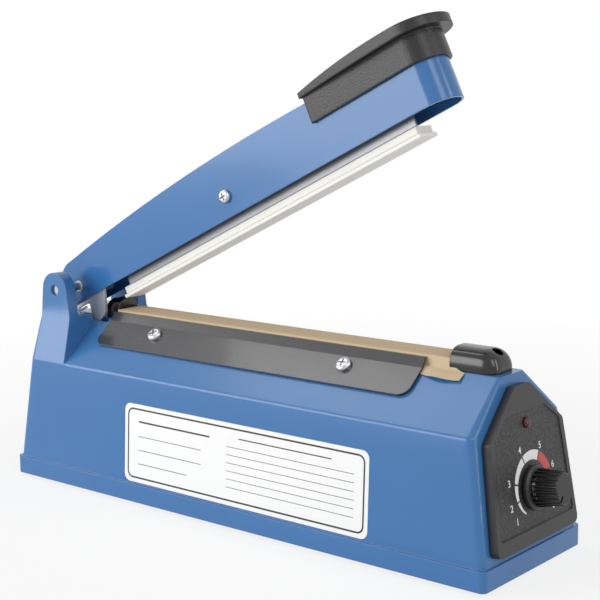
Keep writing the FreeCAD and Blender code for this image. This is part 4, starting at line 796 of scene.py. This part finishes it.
@dataclass
class Studio:
    """Pale floor, white surroundings, soft boxes and the camera.

    The camera's distance, target, lens and film are in millimetres and its angles in degrees. The rest
    is in metres; away from the object the floor's shadow fades into the white.
    """

    distance: float = 751.098
    azimuth: float = 40.061
    elevation: float = 9.662
    target: tuple[float, float, float] = (7.966, 15.062, 109.250)
    roll: float = -0.964
    lens: float = 85.608
    film: float = 36.0
    nearest: float = 0.01
    sky: float = 0.28
    floor_size: float = 14.0
    floor_cuts: int = 3
    floor_drop: float = 0.0002
    fade_start: float = 0.18
    fade_end: float = 0.6
    fade_least: float = 0.8
    aim: tuple[float, float, float] = (0.0, 0.0, 0.1)

    def build(self) -> None:
        """Make the whole studio."""
        self.camera()
        self.world()
        self.floor()
        for box in SOFT_BOXES:
            box.build(Vector(self.aim))
        bpy.context.scene.view_settings.view_transform = "Standard"

    def camera(self) -> None:
        """Put the camera at the photograph's viewpoint."""
        side, up = math.radians(self.azimuth), math.radians(self.elevation)
        back = Vector((math.sin(side) * math.cos(up), -math.cos(side) * math.cos(up), math.sin(up)))
        right = Vector((math.cos(side), math.sin(side), 0))
        upward = back.cross(right)
        tilt = math.radians(self.roll)
        across = right * math.cos(tilt) + upward * math.sin(tilt)
        above = upward * math.cos(tilt) - right * math.sin(tilt)
        camera = primitive(bpy.ops.object.camera_add, "studio_camera")
        camera.data.lens = self.lens
        camera.data.sensor_width = self.film
        camera.data.clip_start = self.nearest
        turn = Matrix((across, above, back)).transposed().to_4x4()
        spot = on_base(*self.target) + back * (self.distance * MM)
        camera.matrix_world = Matrix.Translation(spot) @ turn
        bpy.context.scene.camera = camera

    def seen(self, tree: Tree) -> Socket:
        """One where the camera, a mirror or clear glass looks, zero where the object is lit.

        Args:
            tree: Tree that takes the nodes.

        Returns:
            Value socket.
        """
        path = add_node(tree, "ShaderNodeLightPath").outputs
        larger = {"operation": "MAXIMUM"}
        rays = {0: path["Is Glossy Ray"], 1: path["Is Transmission Ray"]}
        mirror = add_node(tree, "ShaderNodeMath", larger, rays).outputs[0]
        return add_node(tree, "ShaderNodeMath", larger, {0: path["Is Camera Ray"], 1: mirror}).outputs[0]

    def world(self) -> None:
        """White where it is looked at or mirrored, dimmer where it lights."""
        world = bpy.data.worlds.new("white_surroundings")
        world.use_nodes = True
        bpy.context.scene.world = world
        tree = world.node_tree
        ground = tree.nodes["Background"]
        ground.inputs["Color"].default_value = linear("#FFFFFF")
        inputs = {"Value": self.seen(tree), "To Min": self.sky, "To Max": 1.0}
        strength = add_node(tree, "ShaderNodeMapRange", inputs=inputs)
        tree.links.new(strength.outputs["Result"], ground.inputs["Strength"])

    def floor(self) -> None:
        """Wide pale sheet under the feet that keeps a faint shadow."""
        spot = (0, 0, CAD_BOX[0].z - self.floor_drop)
        sheet = primitive(
            bpy.ops.mesh.primitive_plane_add, "studio_floor", size=self.floor_size, location=spot
        )
        with editing(sheet, Element.FACE, every):
            bpy.ops.mesh.subdivide(number_cuts=self.floor_cuts)
        paper = bpy.data.materials.new("studio_paper")
        paper.use_nodes = True
        tree = paper.node_tree
        tree.nodes.remove(tree.nodes["Principled BSDF"])
        matt = add_node(tree, "ShaderNodeBsdfDiffuse", inputs={"Color": linear("#F4F4F4")})
        glow = add_node(tree, "ShaderNodeEmission", inputs={"Color": linear("#FFFFFF"), "Strength": 1.0})
        place = add_node(tree, "ShaderNodeTexCoord").outputs["Object"]
        away = add_node(tree, "ShaderNodeVectorMath", {"operation": "LENGTH"}, {0: place}).outputs["Value"]
        inputs = {
            "Value": away,
            "From Min": self.fade_start,
            "From Max": self.fade_end,
            "To Min": self.fade_least,
            "To Max": 1.0,
        }
        fade = add_node(tree, "ShaderNodeMapRange", inputs=inputs).outputs["Result"]
        inputs = {0: self.seen(tree), 1: fade}
        share = add_node(tree, "ShaderNodeMath", {"operation": "MULTIPLY"}, inputs).outputs[0]
        inputs = {0: share, 1: matt.outputs[0], 2: glow.outputs[0]}
        mix = add_node(tree, "ShaderNodeMixShader", inputs=inputs)
        tree.links.new(mix.outputs[0], tree.nodes["Material Output"].inputs["Surface"])
        sheet.data.materials.append(paper)


@dataclass
class Shells:
    """Finishes of the CAD nodes that keep their own shape; a fold sharper than the crease stays sharp."""

    crease: float = 8.0

    def build(self) -> None:
        """Skin the round nodes and paint the flat ones."""
        base, arm, knob = Body.BASE, Body.ARM, Body.KNOB
        for node, body, slot, finish in (
            ("housing", base, "blue_plastic", BLUE_ABS),
            ("arm_shell", arm, "blue_enamel", BLUE_ENAMEL),
            ("grip_cover", arm, "grip_plastic", GRIP_PLASTIC),
            ("actuator_bracket", arm, "plated_steel", BRIGHT_SHEET),
            ("hinge_pin", base, "plated_steel", ZINC_PLATE),
            ("hinge_pin_washer", base, "plated_steel", ZINC_PLATE),
            ("control_panel", base, "panel_plastic", PANEL_PLASTIC),
            ("indicator_lens", base, "red_lens", LENS),
            ("timer_knob", knob, "knob_plastic", KNOB_PLASTIC),
            ("rubber_feet", base, "black_rubber", RUBBER),
            ("cord_bush", base, "black_rubber", RUBBER),
            ("return_spring", arm, "spring_steel", ZINC_PLATE),
        ):
            smooth_skin(node, body, slot, finish)
        for node in ("front_clamp_plate", "rear_clamp_plate"):
            smooth_skin(node, base, "black_enamel", BLACK_ENAMEL, self.crease)
        for node, finish in (
            ("pivot_bushes", NYLON),
            ("bar_pivot_nut", ZINC_PLATE),
            ("grip_screws", ZINC_PLATE),
            ("sealing_deck", DRAWN_DECK),
            ("insulating_tape", TAPE),
            ("heating_wire", RIBBON),
            ("left_terminal", BRASS),
            ("right_terminal", BRASS),
            ("terminal_screws", ZINC_PLATE),
            ("lamp_holder", MOULDED_BLACK),
            ("potentiometer_shaft", DRAWN_DECK),
            ("potentiometer", ZINC_PLATE),
            ("potentiometer_nut", ZINC_PLATE),
            ("timer_board", BOARD),
            ("board_components", MOULDED_BLACK),
            ("transformer_core", IRON),
            ("transformer_coil", COPPER),
            ("transformer_strap", GALVANISED),
            ("transformer_screws", ZINC_PLATE),
            ("micro_switch", MOULDED_BLACK),
            ("switch_lever", ZINC_PLATE),
            ("switch_bracket", GALVANISED),
            ("switch_screws", ZINC_PLATE),
            ("base_plate", GALVANISED),
            ("base_screws", ZINC_PLATE),
        ):
            shape = frame["nodes"][node]
            shape.data.materials.clear()
            shape.data.materials.append(finish.material())


@dataclass
class PressureBar:
    """Aluminium bar under the arm, drawn out to its full reach, and its silicone strip.

    All in millimetres, along the arm from its pivot and up from the line through it.
    """

    stretch: float = 8.0
    stretch_from: float = 200.0
    body_end: float = 239.5
    wall: float = 1.2
    cutter: float = 40.0
    strip_start: float = 29.0
    strip_length: float = 224.0
    strip_half: float = 7.0
    strip_low: float = -18.4
    flange: float = 1.9
    neck: float = 0.3
    neck_inset: float = 1.3
    rib_half: float = 6.3
    rib_top: float = -12.6
    tenon_half: float = 3.5
    tenon: float = 2.3
    tenon_gap: float = 0.3

    def build(self) -> None:
        """Make the bar, then the strip."""
        piece = smooth_skin("pressure_bar", Body.BAR, "aluminium", EXTRUDED_ALUMINIUM)
        into_arm = ARM_PLACE.inverted()
        along = ARM_PLACE.to_3x3() @ Vector((self.stretch * MM, 0, 0))
        start = self.stretch_from * MM
        with editing(piece, Element.VERTEX, lambda vertex: (into_arm @ vertex.co).x > start):
            bpy.ops.transform.translate(value=along)
        self.open_end(piece)
        self.strip()

    def open_end(self, piece: Piece) -> None:
        """Cut the bar's body back at its right end, so that only its front wall runs on.

        Args:
            piece: The bar.
        """
        half = self.cutter / 2
        cutter = primitive(bpy.ops.mesh.primitive_cube_add, "bar_end_cutter", size=self.cutter * MM)
        middle = Vector((self.body_end + half, half - self.strip_half + self.wall, 0)) * MM
        settle(cutter, ARM_PLACE @ Matrix.Translation(middle))
        cut(piece, cutter)
        dress(piece, EXTRUDED_ALUMINIUM)

    def strip(self) -> None:
        """Extruded strip: a thin flange that presses, a neck, and a rib that sits under the bar."""
        middle = Vector((self.strip_start + self.strip_length / 2, 0, self.strip_low + self.flange / 2))
        size = Vector((self.strip_length, 2 * self.strip_half, self.flange))
        piece = block("silicone_strip_profile", size, middle)
        rib_low = self.strip_low + self.flange + self.neck
        rib_share = self.rib_half / (self.strip_half - self.neck_inset)
        tenon_inset = self.rib_half - self.tenon_half
        with editing(piece, Element.FACE, lambda face: face.normal.z > UPWARD):
            bpy.ops.mesh.inset(thickness=self.neck_inset * MM)
            extrude_up(self.neck)
            # A second ring at the same height, drawn out to the rib's width.
            extrude_up(0)
            bpy.ops.transform.resize(
                value=(1, rib_share, 1), center_override=(middle.x * MM, 0, rib_low * MM)
            )
            extrude_up(self.rib_top - rib_low)
            bpy.ops.mesh.inset(thickness=tenon_inset * MM)
            extrude_up(self.tenon)
        tenon_end = self.strip_start + self.strip_length - self.neck_inset - tenon_inset
        back = Vector((self.body_end - tenon_end - self.tenon_gap, 0, 0)) * MM
        half_way, above = middle.x * MM, self.rib_top * MM + TINY
        with editing(piece, Element.VERTEX, lambda vertex: vertex.co.x > half_way and vertex.co.z > above):
            bpy.ops.transform.translate(value=back)
        face_outward(piece)
        settle(piece, ARM_PLACE)
        dress(piece, SILICONE, smooth=30)
        hand_over(piece, Body.BAR, "white_silicone", "silicone_strip")


@dataclass
class EndCap:
    """Black cap over one end of the deck: half round in section, its outer end rounded off.

    Sizes are in millimetres; the tip's width and the hole's floor are shares of the width and height.
    """

    node: str
    inner: float
    length: float
    half_width: float
    height: float
    outward: int
    nose: float = 9.0
    fullness: float = 3.0
    tip_width: float = 0.35
    steps: int = 40
    weld: float = 0.02
    hole: float = 5.6
    hole_inset: float = 3.6
    hole_lean: float = 40.0
    hole_floor: float = 0.4
    hole_reach: float = 12.0

    def build(self) -> None:
        """Model the cap on the deck's axis, sink its screw hole and hand it over."""
        add = bpy.ops.mesh.primitive_grid_add
        piece = primitive(
            add, f"{self.node}_shell", x_subdivisions=self.steps, y_subdivisions=self.steps, size=2
        )
        for vertex in piece.data.vertices:
            vertex.co = self.skin((vertex.co.x + 1) / 2, (vertex.co.y + 1) / 2)
        with editing(piece, Element.VERTEX, every):
            bpy.ops.mesh.remove_doubles(threshold=self.weld * MM)
        with editing(piece, Element.VERTEX, lambda vertex: abs(vertex.co.x) < TINY):
            bpy.ops.mesh.edge_face_add()
        with editing(piece, Element.VERTEX, lambda vertex: vertex.co.z < TINY):
            bpy.ops.mesh.edge_face_add()
        face_outward(piece)
        self.screw_hole(piece)
        turn = Matrix.Rotation(0 if self.outward > 0 else math.pi, 4, "Z")
        settle(piece, Matrix.Translation(on_base(self.inner, 0, HOUSING_TOP)) @ turn)
        dress(piece, GLOSS_BLACK, smooth=40)
        hand_over(piece, Body.BASE, "black_gloss_plastic", self.node)

    def skin(self, along: float, over: float) -> Vector:
        """Point of the cap's skin.

        Args:
            along: Share of the length, from the deck outwards.
            over: Share of the way over the section, from one side to the other.

        Returns:
            Point with X along the deck, in metres.
        """
        power = 2 / self.fullness
        straight = self.length - self.nose
        shrink, x = 1.0, along * 2 * straight
        if along > 0.5:
            turn = (along - 0.5) * math.pi
            x = straight + math.sin(turn) * self.nose
            shrink = max(math.cos(turn), 0.0) ** power
        side = math.cos(over * math.pi)
        across = math.copysign(abs(side) ** power, side) * self.half_width
        up = max(math.sin(over * math.pi), 0.0) ** power * self.height
        return Vector((x, across * (self.tip_width + (1 - self.tip_width) * shrink), up * shrink)) * MM

    def screw_hole(self, piece: Piece) -> None:
        """Sink the hole for the screw that holds the cap, leaning with its rounded end.

        Args:
            piece: The cap, on the deck's axis.
        """
        radius, depth = self.hole / 2 * MM, self.hole_reach * MM
        add = bpy.ops.mesh.primitive_cylinder_add
        cutter = primitive(add, "cap_hole_cutter", vertices=32, radius=radius, depth=depth)
        up = self.height * self.hole_floor + self.hole_reach / 2
        spot = Vector((self.length - self.hole_inset, 0, up)) * MM
        settle(cutter, Matrix.Translation(spot) @ Matrix.Rotation(math.radians(self.hole_lean), 4, "Y"))
        cut(piece, cutter)


@dataclass
class CrossHead:
    """Pan-head screws with a cross recess, standing for the plain CAD ones.

    Sizes are in millimetres, a head's as its diameter and height, and turns in radians. The dome is a
    share of the height and the recess's reach one of the diameter.
    """

    recess_width: float = 0.9
    recess_depth: float = 1.3
    recess_reach: float = 0.56
    dome: float = 0.75
    dome_profile: float = 0.55
    clamp_size: tuple[float, float] = (8.4, 2.6)
    clamp_inset: float = 4.2
    clamp_turn: float = 0.6
    turn_per_metre: float = 20.0
    shoulder_start: float = 10.4
    down_slope: float = 7.9
    plate_rise: float = 1.7
    pivot_size: tuple[float, float] = (7.4, 2.4)
    pivot_seat: tuple[float, float, float] = (130.8, -12.0, 2.3)
    pivot_turn: float = 0.5

    def head(self, name: str, diameter: float, height: float) -> Piece:
        """Model one head on the origin, its axis up.

        Args:
            name: Piece's name.
            diameter: Head's diameter in millimetres.
            height: Head's height in millimetres.

        Returns:
            The head.
        """
        middle = Vector((0, 0, height / 2)) * MM
        add = bpy.ops.mesh.primitive_cylinder_add
        piece = primitive(
            add, name, vertices=48, radius=diameter / 2 * MM, depth=height * MM, location=middle
        )
        bpy.ops.object.transform_apply(location=True, rotation=True, scale=True)
        crown = height * MM - TINY
        points = piece.data.vertices
        with editing(piece, Element.EDGE, lambda edge: all(points[i].co.z > crown for i in edge.vertices)):
            bpy.ops.mesh.bevel(offset=height * self.dome * MM, segments=6, profile=self.dome_profile)
        slit = Vector((diameter * self.recess_reach, self.recess_width, self.recess_depth * 2))
        for turn in (0.0, math.pi / 2):
            cutter = block("recess_cutter", slit, Vector((0, 0, height)))
            settle(cutter, Matrix.Rotation(turn, 4, "Z"))
            cut(piece, cutter)
        dress(piece, ZINC_PLATE, smooth=30)
        return piece

    def place(
        self, name: str, node: str, body: Body, spots: Sequence[Matrix], size: tuple[float, float]
    ) -> None:
        """Set copies of one head at their places, joined as the CAD node is.

        Args:
            name: Piece's name.
            node: CAD node they stand for.
            body: Body that carries them.
            spots: Place of each head's seat.
            size: Head's diameter and height in millimetres.
        """
        first = self.head(name, *size)
        heads = [first, *(copy_of(first) for _ in spots[1:])]
        for head, spot in zip(heads, spots):
            settle(head, spot)
        hand_over(join(heads, name), body, "plated_steel", node)

    def build(self) -> None:
        """Clamp screws on both shoulders and the bar's pivot screw."""
        across = self.shoulder_start + self.down_slope * math.cos(SHOULDER_LEAN)
        across += self.plate_rise * math.sin(SHOULDER_LEAN)
        up = HOUSING_TOP - self.down_slope * math.sin(SHOULDER_LEAN)
        up += self.plate_rise * math.cos(SHOULDER_LEAN)
        for side, node in ((-1, "front_clamp_screws"), (1, "rear_clamp_screws")):
            low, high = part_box(node)
            lean = Matrix.Rotation(-side * SHOULDER_LEAN, 4, "X")
            spots = []
            for x in (low.x + self.clamp_inset * MM, high.x - self.clamp_inset * MM):
                seat = Vector((x, side * across * MM, HOUSING_LOW.z + up * MM))
                turn = Matrix.Rotation(self.clamp_turn + x * self.turn_per_metre, 4, "Z")
                spots.append(Matrix.Translation(seat) @ lean @ turn)
            self.place(f"{node}_heads", node, Body.BASE, spots, self.clamp_size)
        seat = Matrix.Translation(ARM_PLACE @ (Vector(self.pivot_seat) * MM))
        turn = Matrix.Rotation(math.pi / 2, 4, "X") @ Matrix.Rotation(self.pivot_turn, 4, "Z")
        self.place("bar_pivot_screw_head", "bar_pivot_screw", Body.ARM, [seat @ turn], self.pivot_size)


@dataclass
class ReleaseCloth:
    """Tan sheet over the heating wire, its edges under the clamp plates, a loose flap at the right.

    All in millimetres from the housing's middle and its skirt's lower edge. The flap is cut short,
    lifted off the shoulder with a slow swell, and leans outwards.
    """

    left: float = -106.5
    right: float = 120.5
    deck_half: float = 8.9
    top: float = 95.8
    shelf: float = 90.8
    bend: float = 10.6
    skirt: float = 13.0
    thickness: float = 0.25
    short_span: tuple[float, float] = (97.0, 104.0)
    loose_span: tuple[float, float] = (105.5, 110.5)
    flap_short: float = 6.2
    flap_taper: float = 0.02
    flap_middle: float = 114.0
    flap_round: float = 3.0
    flap_lift: float = 1.2
    swell: float = 0.5
    swell_start: float = 106.0
    swell_pace: float = 0.33
    flap_lean: float = 8.0
    lean_start: float = 100.0
    flap_root: float = 12.5
    flap_run: float = 4.0
    steps_long: int = 150
    steps_across: int = 48

    @property
    def half_width(self) -> float:
        """Half of the sheet's cut width, in millimetres."""
        return self.bend + self.top - self.shelf + self.skirt

    def across(self, way: float) -> tuple[float, float]:
        """Point of the sheet's cross-section at a distance from its middle line.

        Args:
            way: Distance along the sheet from the middle, in millimetres, not negative.

        Returns:
            Distance from the middle plane and height.
        """
        side = self.top - self.shelf
        runs = ((self.deck_half, 1, 0), (side, 0, -1), (self.bend - self.deck_half, 1, 0))
        y, z = 0.0, self.top
        for length, dy, dz in runs:
            step = min(way, length)
            y, z, way = y + dy * step, z + dz * step, way - step
        return y + way * math.cos(SHOULDER_LEAN), z - way * math.sin(SHOULDER_LEAN)

    def eased(self, way: float, ease: float) -> tuple[float, float]:
        """Point of the cross-section with the corner at the foot of the deck rounded.

        Args:
            way: Distance along the sheet from the middle, in millimetres, not negative.
            ease: Share of the full rounding, from 0 to 1.

        Returns:
            Distance from the middle plane and height.
        """
        window = min(self.flap_round, max(way - self.deck_half, 0.0)) * ease
        points = [self.across(way + window * step / 2) for step in range(-2, 3)]
        return sum(y for y, _ in points) / len(points), sum(z for _, z in points) / len(points)

    def laid(self, x: float, way: float) -> Vector:
        """Place of a point of the flat sheet once it is laid.

        Args:
            x: Place along the deck, in millimetres.
            way: Distance from the sheet's middle line, in millimetres, negative at the front.

        Returns:
            Point in metres.
        """
        free = max(abs(way) - self.half_width + self.skirt, 0.0) / self.skirt
        loose = ramp(x, *self.loose_span)
        short = self.flap_short + (x - self.flap_middle) ** 2 * self.flap_taper
        y, z = self.eased(abs(way) - free * short * ramp(x, *self.short_span), loose)
        wave = self.swell * math.sin((x - self.swell_start) * self.swell_pace)
        lift = loose * free * (self.flap_lift + wave)
        y, z = y + lift * math.sin(SHOULDER_LEAN), z + lift * math.cos(SHOULDER_LEAN)
        root = ramp(abs(way), self.flap_root, self.flap_root + self.flap_run)
        slide = ramp(x, self.lean_start, self.right) * root * self.flap_lean
        return on_base(x + slide, math.copysign(y, way), z)

    def build(self) -> None:
        sheet = primitive(
            bpy.ops.mesh.primitive_grid_add,
            "release_cloth_sheet",
            x_subdivisions=self.steps_long,
            y_subdivisions=self.steps_across,
            size=2,
            calc_uvs=True,
        )
        length = self.right - self.left
        for loop, corner in zip(sheet.data.loops, sheet.data.uv_layers.active.data):
            flat = sheet.data.vertices[loop.vertex_index].co
            corner.uv = (flat.x * length / 2 * MM, flat.y * self.half_width * MM)
        for vertex in sheet.data.vertices:
            x = self.left + (vertex.co.x + 1) / 2 * length
            vertex.co = self.laid(x, vertex.co.y * self.half_width)
        apply_modifier(sheet, "SOLIDIFY", thickness=self.thickness * MM, offset=1.0)
        dress(sheet, CLOTH, smooth=60)
        hand_over(sheet, Body.BASE, "coated_glass_cloth", "release_cloth")


@dataclass
class Sticker:
    """Blank white sticker on the front wall: a black keyline and ruled rows.

    All in millimetres. The wall starts behind a proud skirt; ink heights are from the wall. Each rule is
    its start and height from the sticker's middle, its length and its thickness.
    """

    left: float = -70.5
    right: float = 94.4
    low: float = 11.0
    high: float = 53.7
    corner: float = 4.0
    line: float = 0.9
    inset: float = 2.2
    skirt_depth: float = 43.0
    skirt_proud: float = 1.2
    skirt_height: float = 10.0
    gap: float = 0.03
    film: float = 0.12
    ink: float = 0.02
    keyline_height: float = 0.16
    rule_height: float = 0.17
    rule_corner: float = 0.3
    rules: tuple[tuple[float, float, float, float], ...] = (
        (-72.0, 12.0, 52.0, 0.9),
        (-72.0, 4.0, 46.0, 0.35),
        (-72.0, -3.5, 46.0, 0.35),
        (-72.0, -11.0, 36.0, 0.35),
        (0.0, 14.0, 60.0, 0.6),
        *((-8.0, 9.0 - 4.2 * number, 82.0, 0.3) for number in range(6)),
    )

    def place(self) -> Matrix:
        """Find the sticker's own plane.

        Returns:
            Place with X along the wall, Y up it and Z out of it.
        """
        middle = (self.low + self.high) / 2
        depth = self.skirt_depth - self.skirt_proud - (middle - self.skirt_height) * math.tan(SIDE_LEAN)
        spot = on_base((self.left + self.right) / 2, -depth, middle)
        return Matrix.Translation(spot) @ Matrix.Rotation(math.pi / 2 - SIDE_LEAN, 4, "X")

    def plate(self, name: str, width: float, height: float, corner: float) -> Piece:
        """Make a flat plate with round corners, on the origin.

        Args:
            name: Plate's name.
            width: Its width, in millimetres.
            height: Its height, in millimetres.
            corner: Radius of its corners, in millimetres.

        Returns:
            The plate.
        """
        piece = primitive(bpy.ops.mesh.primitive_plane_add, name, size=1)
        piece.scale = (width * MM, height * MM, 1)
        bpy.ops.object.transform_apply(location=False, rotation=False, scale=True)
        with editing(piece, Element.VERTEX, every):
            bpy.ops.mesh.bevel(offset=corner * MM, segments=8, affect="VERTICES")
        return piece

    def stick(self, piece: Piece, x: float, y: float, height: float) -> None:
        """Set a plate at a place from the sticker's middle and a height over the wall, in millimetres."""
        settle(piece, self.place() @ Matrix.Translation(Vector((x, y, height)) * MM))

    def build(self) -> None:
        """Make the sticker, its keyline and its rows."""
        width, height = self.right - self.left, self.high - self.low
        sheet = self.plate("front_sticker", width, height, self.corner)
        with editing(sheet, Element.FACE, every):
            extrude_up(self.film)
        self.stick(sheet, 0, 0, self.gap)
        dress(sheet, WHITE_VINYL, smooth=30)
        hand_over(sheet, Body.BASE, None)
        margin = 2 * self.inset
        keyline = self.plate("sticker_keyline", width - margin, height - margin, self.corner)
        with editing(keyline, Element.FACE, every):
            bpy.ops.mesh.inset(thickness=self.line * MM)
            bpy.ops.mesh.delete(type="FACE")
            bpy.ops.mesh.select_all(action="SELECT")
            extrude_up(self.ink)
        self.stick(keyline, 0, 0, self.keyline_height)
        dress(keyline, BLACK_INK, smooth=30)
        hand_over(keyline, Body.BASE, None)
        self.rows()

    def rows(self) -> None:
        """Ruled rows of a blank form, joined as one piece."""
        made = []
        for number, (start, up, length, thick) in enumerate(self.rules):
            strip = self.plate(f"sticker_row_{number}", length, thick, thick * self.rule_corner)
            self.stick(strip, start + length / 2, up, self.rule_height)
            made.append(strip)
        rows = join(made, "sticker_rows")
        dress(rows, BLACK_INK, smooth=30)
        hand_over(rows, Body.BASE, None)


@dataclass
class DialPrint:
    """Wedge scale and numbers printed in the panel's sunk field, round the knob.

    Sizes are in millimetres, angles in degrees clockwise from the top.
    """

    field: float = -FIELD_DEPTH
    lift: float = 0.02
    film: float = 0.04
    inner: float = 12.8
    thin: float = 0.6
    thick: float = 4.8
    growth: float = 0.8
    start: float = -144.0
    number_reach: float = 20.2
    number_size: float = 4.6
    number_weight: float = 0.06
    angles: tuple[float, ...] = (-128.0, -106.0, -73.0, -22.0, 29.0, 71.0, 104.0, 127.0)
    gap: float = 3.2
    red_from: int = 4
    steps: int = 24

    def outer(self, angle: float) -> float:
        """Outer radius of the wedge at an angle; it is full where the red starts."""
        share = ramp(angle, self.start, self.angles[self.red_from])
        return self.inner + self.thin + (self.thick - self.thin) * share**self.growth

    def spot(self, angle: float, reach: float) -> Vector:
        """Point on the field at an angle and a distance from the axis."""
        turn = math.radians(angle)
        return Vector((-math.cos(turn) * reach, math.sin(turn) * reach, self.field)) * MM

    def build(self) -> None:
        """Print the white part, the red part and the numbers."""
        ends = (self.start, *self.angles[1:])
        segments = list(zip(ends, ends[1:]))
        self.wedge("dial_white_scale", segments[: self.red_from], WHITE_INK)
        self.wedge("dial_red_scale", segments[self.red_from :], RED_INK)
        self.numbers()

    def wedge(self, name: str, segments: Sequence[tuple[float, float]], finish: Finish) -> None:
        """Lay one colour's segments.

        Args:
            name: Piece's name.
            segments: First and last angle of each segment.
            finish: Ink.
        """
        made = []
        add = bpy.ops.mesh.primitive_grid_add
        for number, (first, last) in enumerate(segments, start=1):
            strip = primitive(add, f"{name}_{number}", x_subdivisions=self.steps, y_subdivisions=1, size=2)
            first, last = first + self.gap / 2, last - self.gap / 2
            for vertex in strip.data.vertices:
                angle = first + (vertex.co.x + 1) / 2 * (last - first)
                reach = self.inner if vertex.co.y < 0 else self.outer(angle)
                vertex.co = self.spot(angle, reach)
            made.append(strip)
        self.lay(join(made, name), finish)

    def numbers(self) -> None:
        """Dial numbers, upright on the panel."""
        made = []
        upright = Matrix.Rotation(math.pi / 2, 4, "Z")
        for number, angle in enumerate(self.angles, start=1):
            digit = primitive(bpy.ops.object.text_add, f"dial_number_{number}")
            digit.data.body = str(number)
            digit.data.size = self.number_size * MM
            digit.data.align_x = "CENTER"
            digit.data.align_y = "CENTER"
            digit.data.offset = self.number_weight * MM
            bpy.ops.object.convert(target="MESH")
            settle(digit, Matrix.Translation(self.spot(angle, self.number_reach)) @ upright)
            made.append(digit)
        self.lay(join(made, "dial_numbers"), WHITE_INK)

    def lay(self, ink: Piece, finish: Finish) -> None:
        """Thicken a print drawn in the panel's plane, and set it on the panel.

        Args:
            ink: Flat print.
            finish: Its ink.
        """
        with editing(ink, Element.FACE, every):
            bpy.ops.mesh.normals_make_consistent(inside=False)
            extrude_up(self.film)
            bpy.ops.mesh.select_all(action="SELECT")
            bpy.ops.mesh.normals_make_consistent(inside=False)
        settle(ink, PANEL_PLACE @ Matrix.Translation((0, 0, self.lift * MM)))
        dress(ink, finish, smooth=30)
        hand_over(ink, Body.BASE, None)


def main() -> None:
    """Build the studio and every sub-assembly in turn."""
    logging.basicConfig(level=logging.INFO, format="%(name)s: %(message)s")
    right_cap = EndCap("right_end_cap", inner=119.2, length=24.4, half_width=9.9, height=10.8, outward=1)
    left_cap = EndCap(
        "left_end_cap", inner=-107.6, length=13.1, half_width=7.7, height=11.0, outward=-1, nose=6.0,
        hole_inset=5.0,
    )
    caps = (right_cap, left_cap)
    for maker in (
        Studio(), Shells(), PressureBar(), *caps, CrossHead(), ReleaseCloth(), Sticker(), DialPrint()
    ):
        LOG.info("building %s", type(maker).__name__)
        maker.build()
    deselect()


if __name__ == "__main__":
    main()
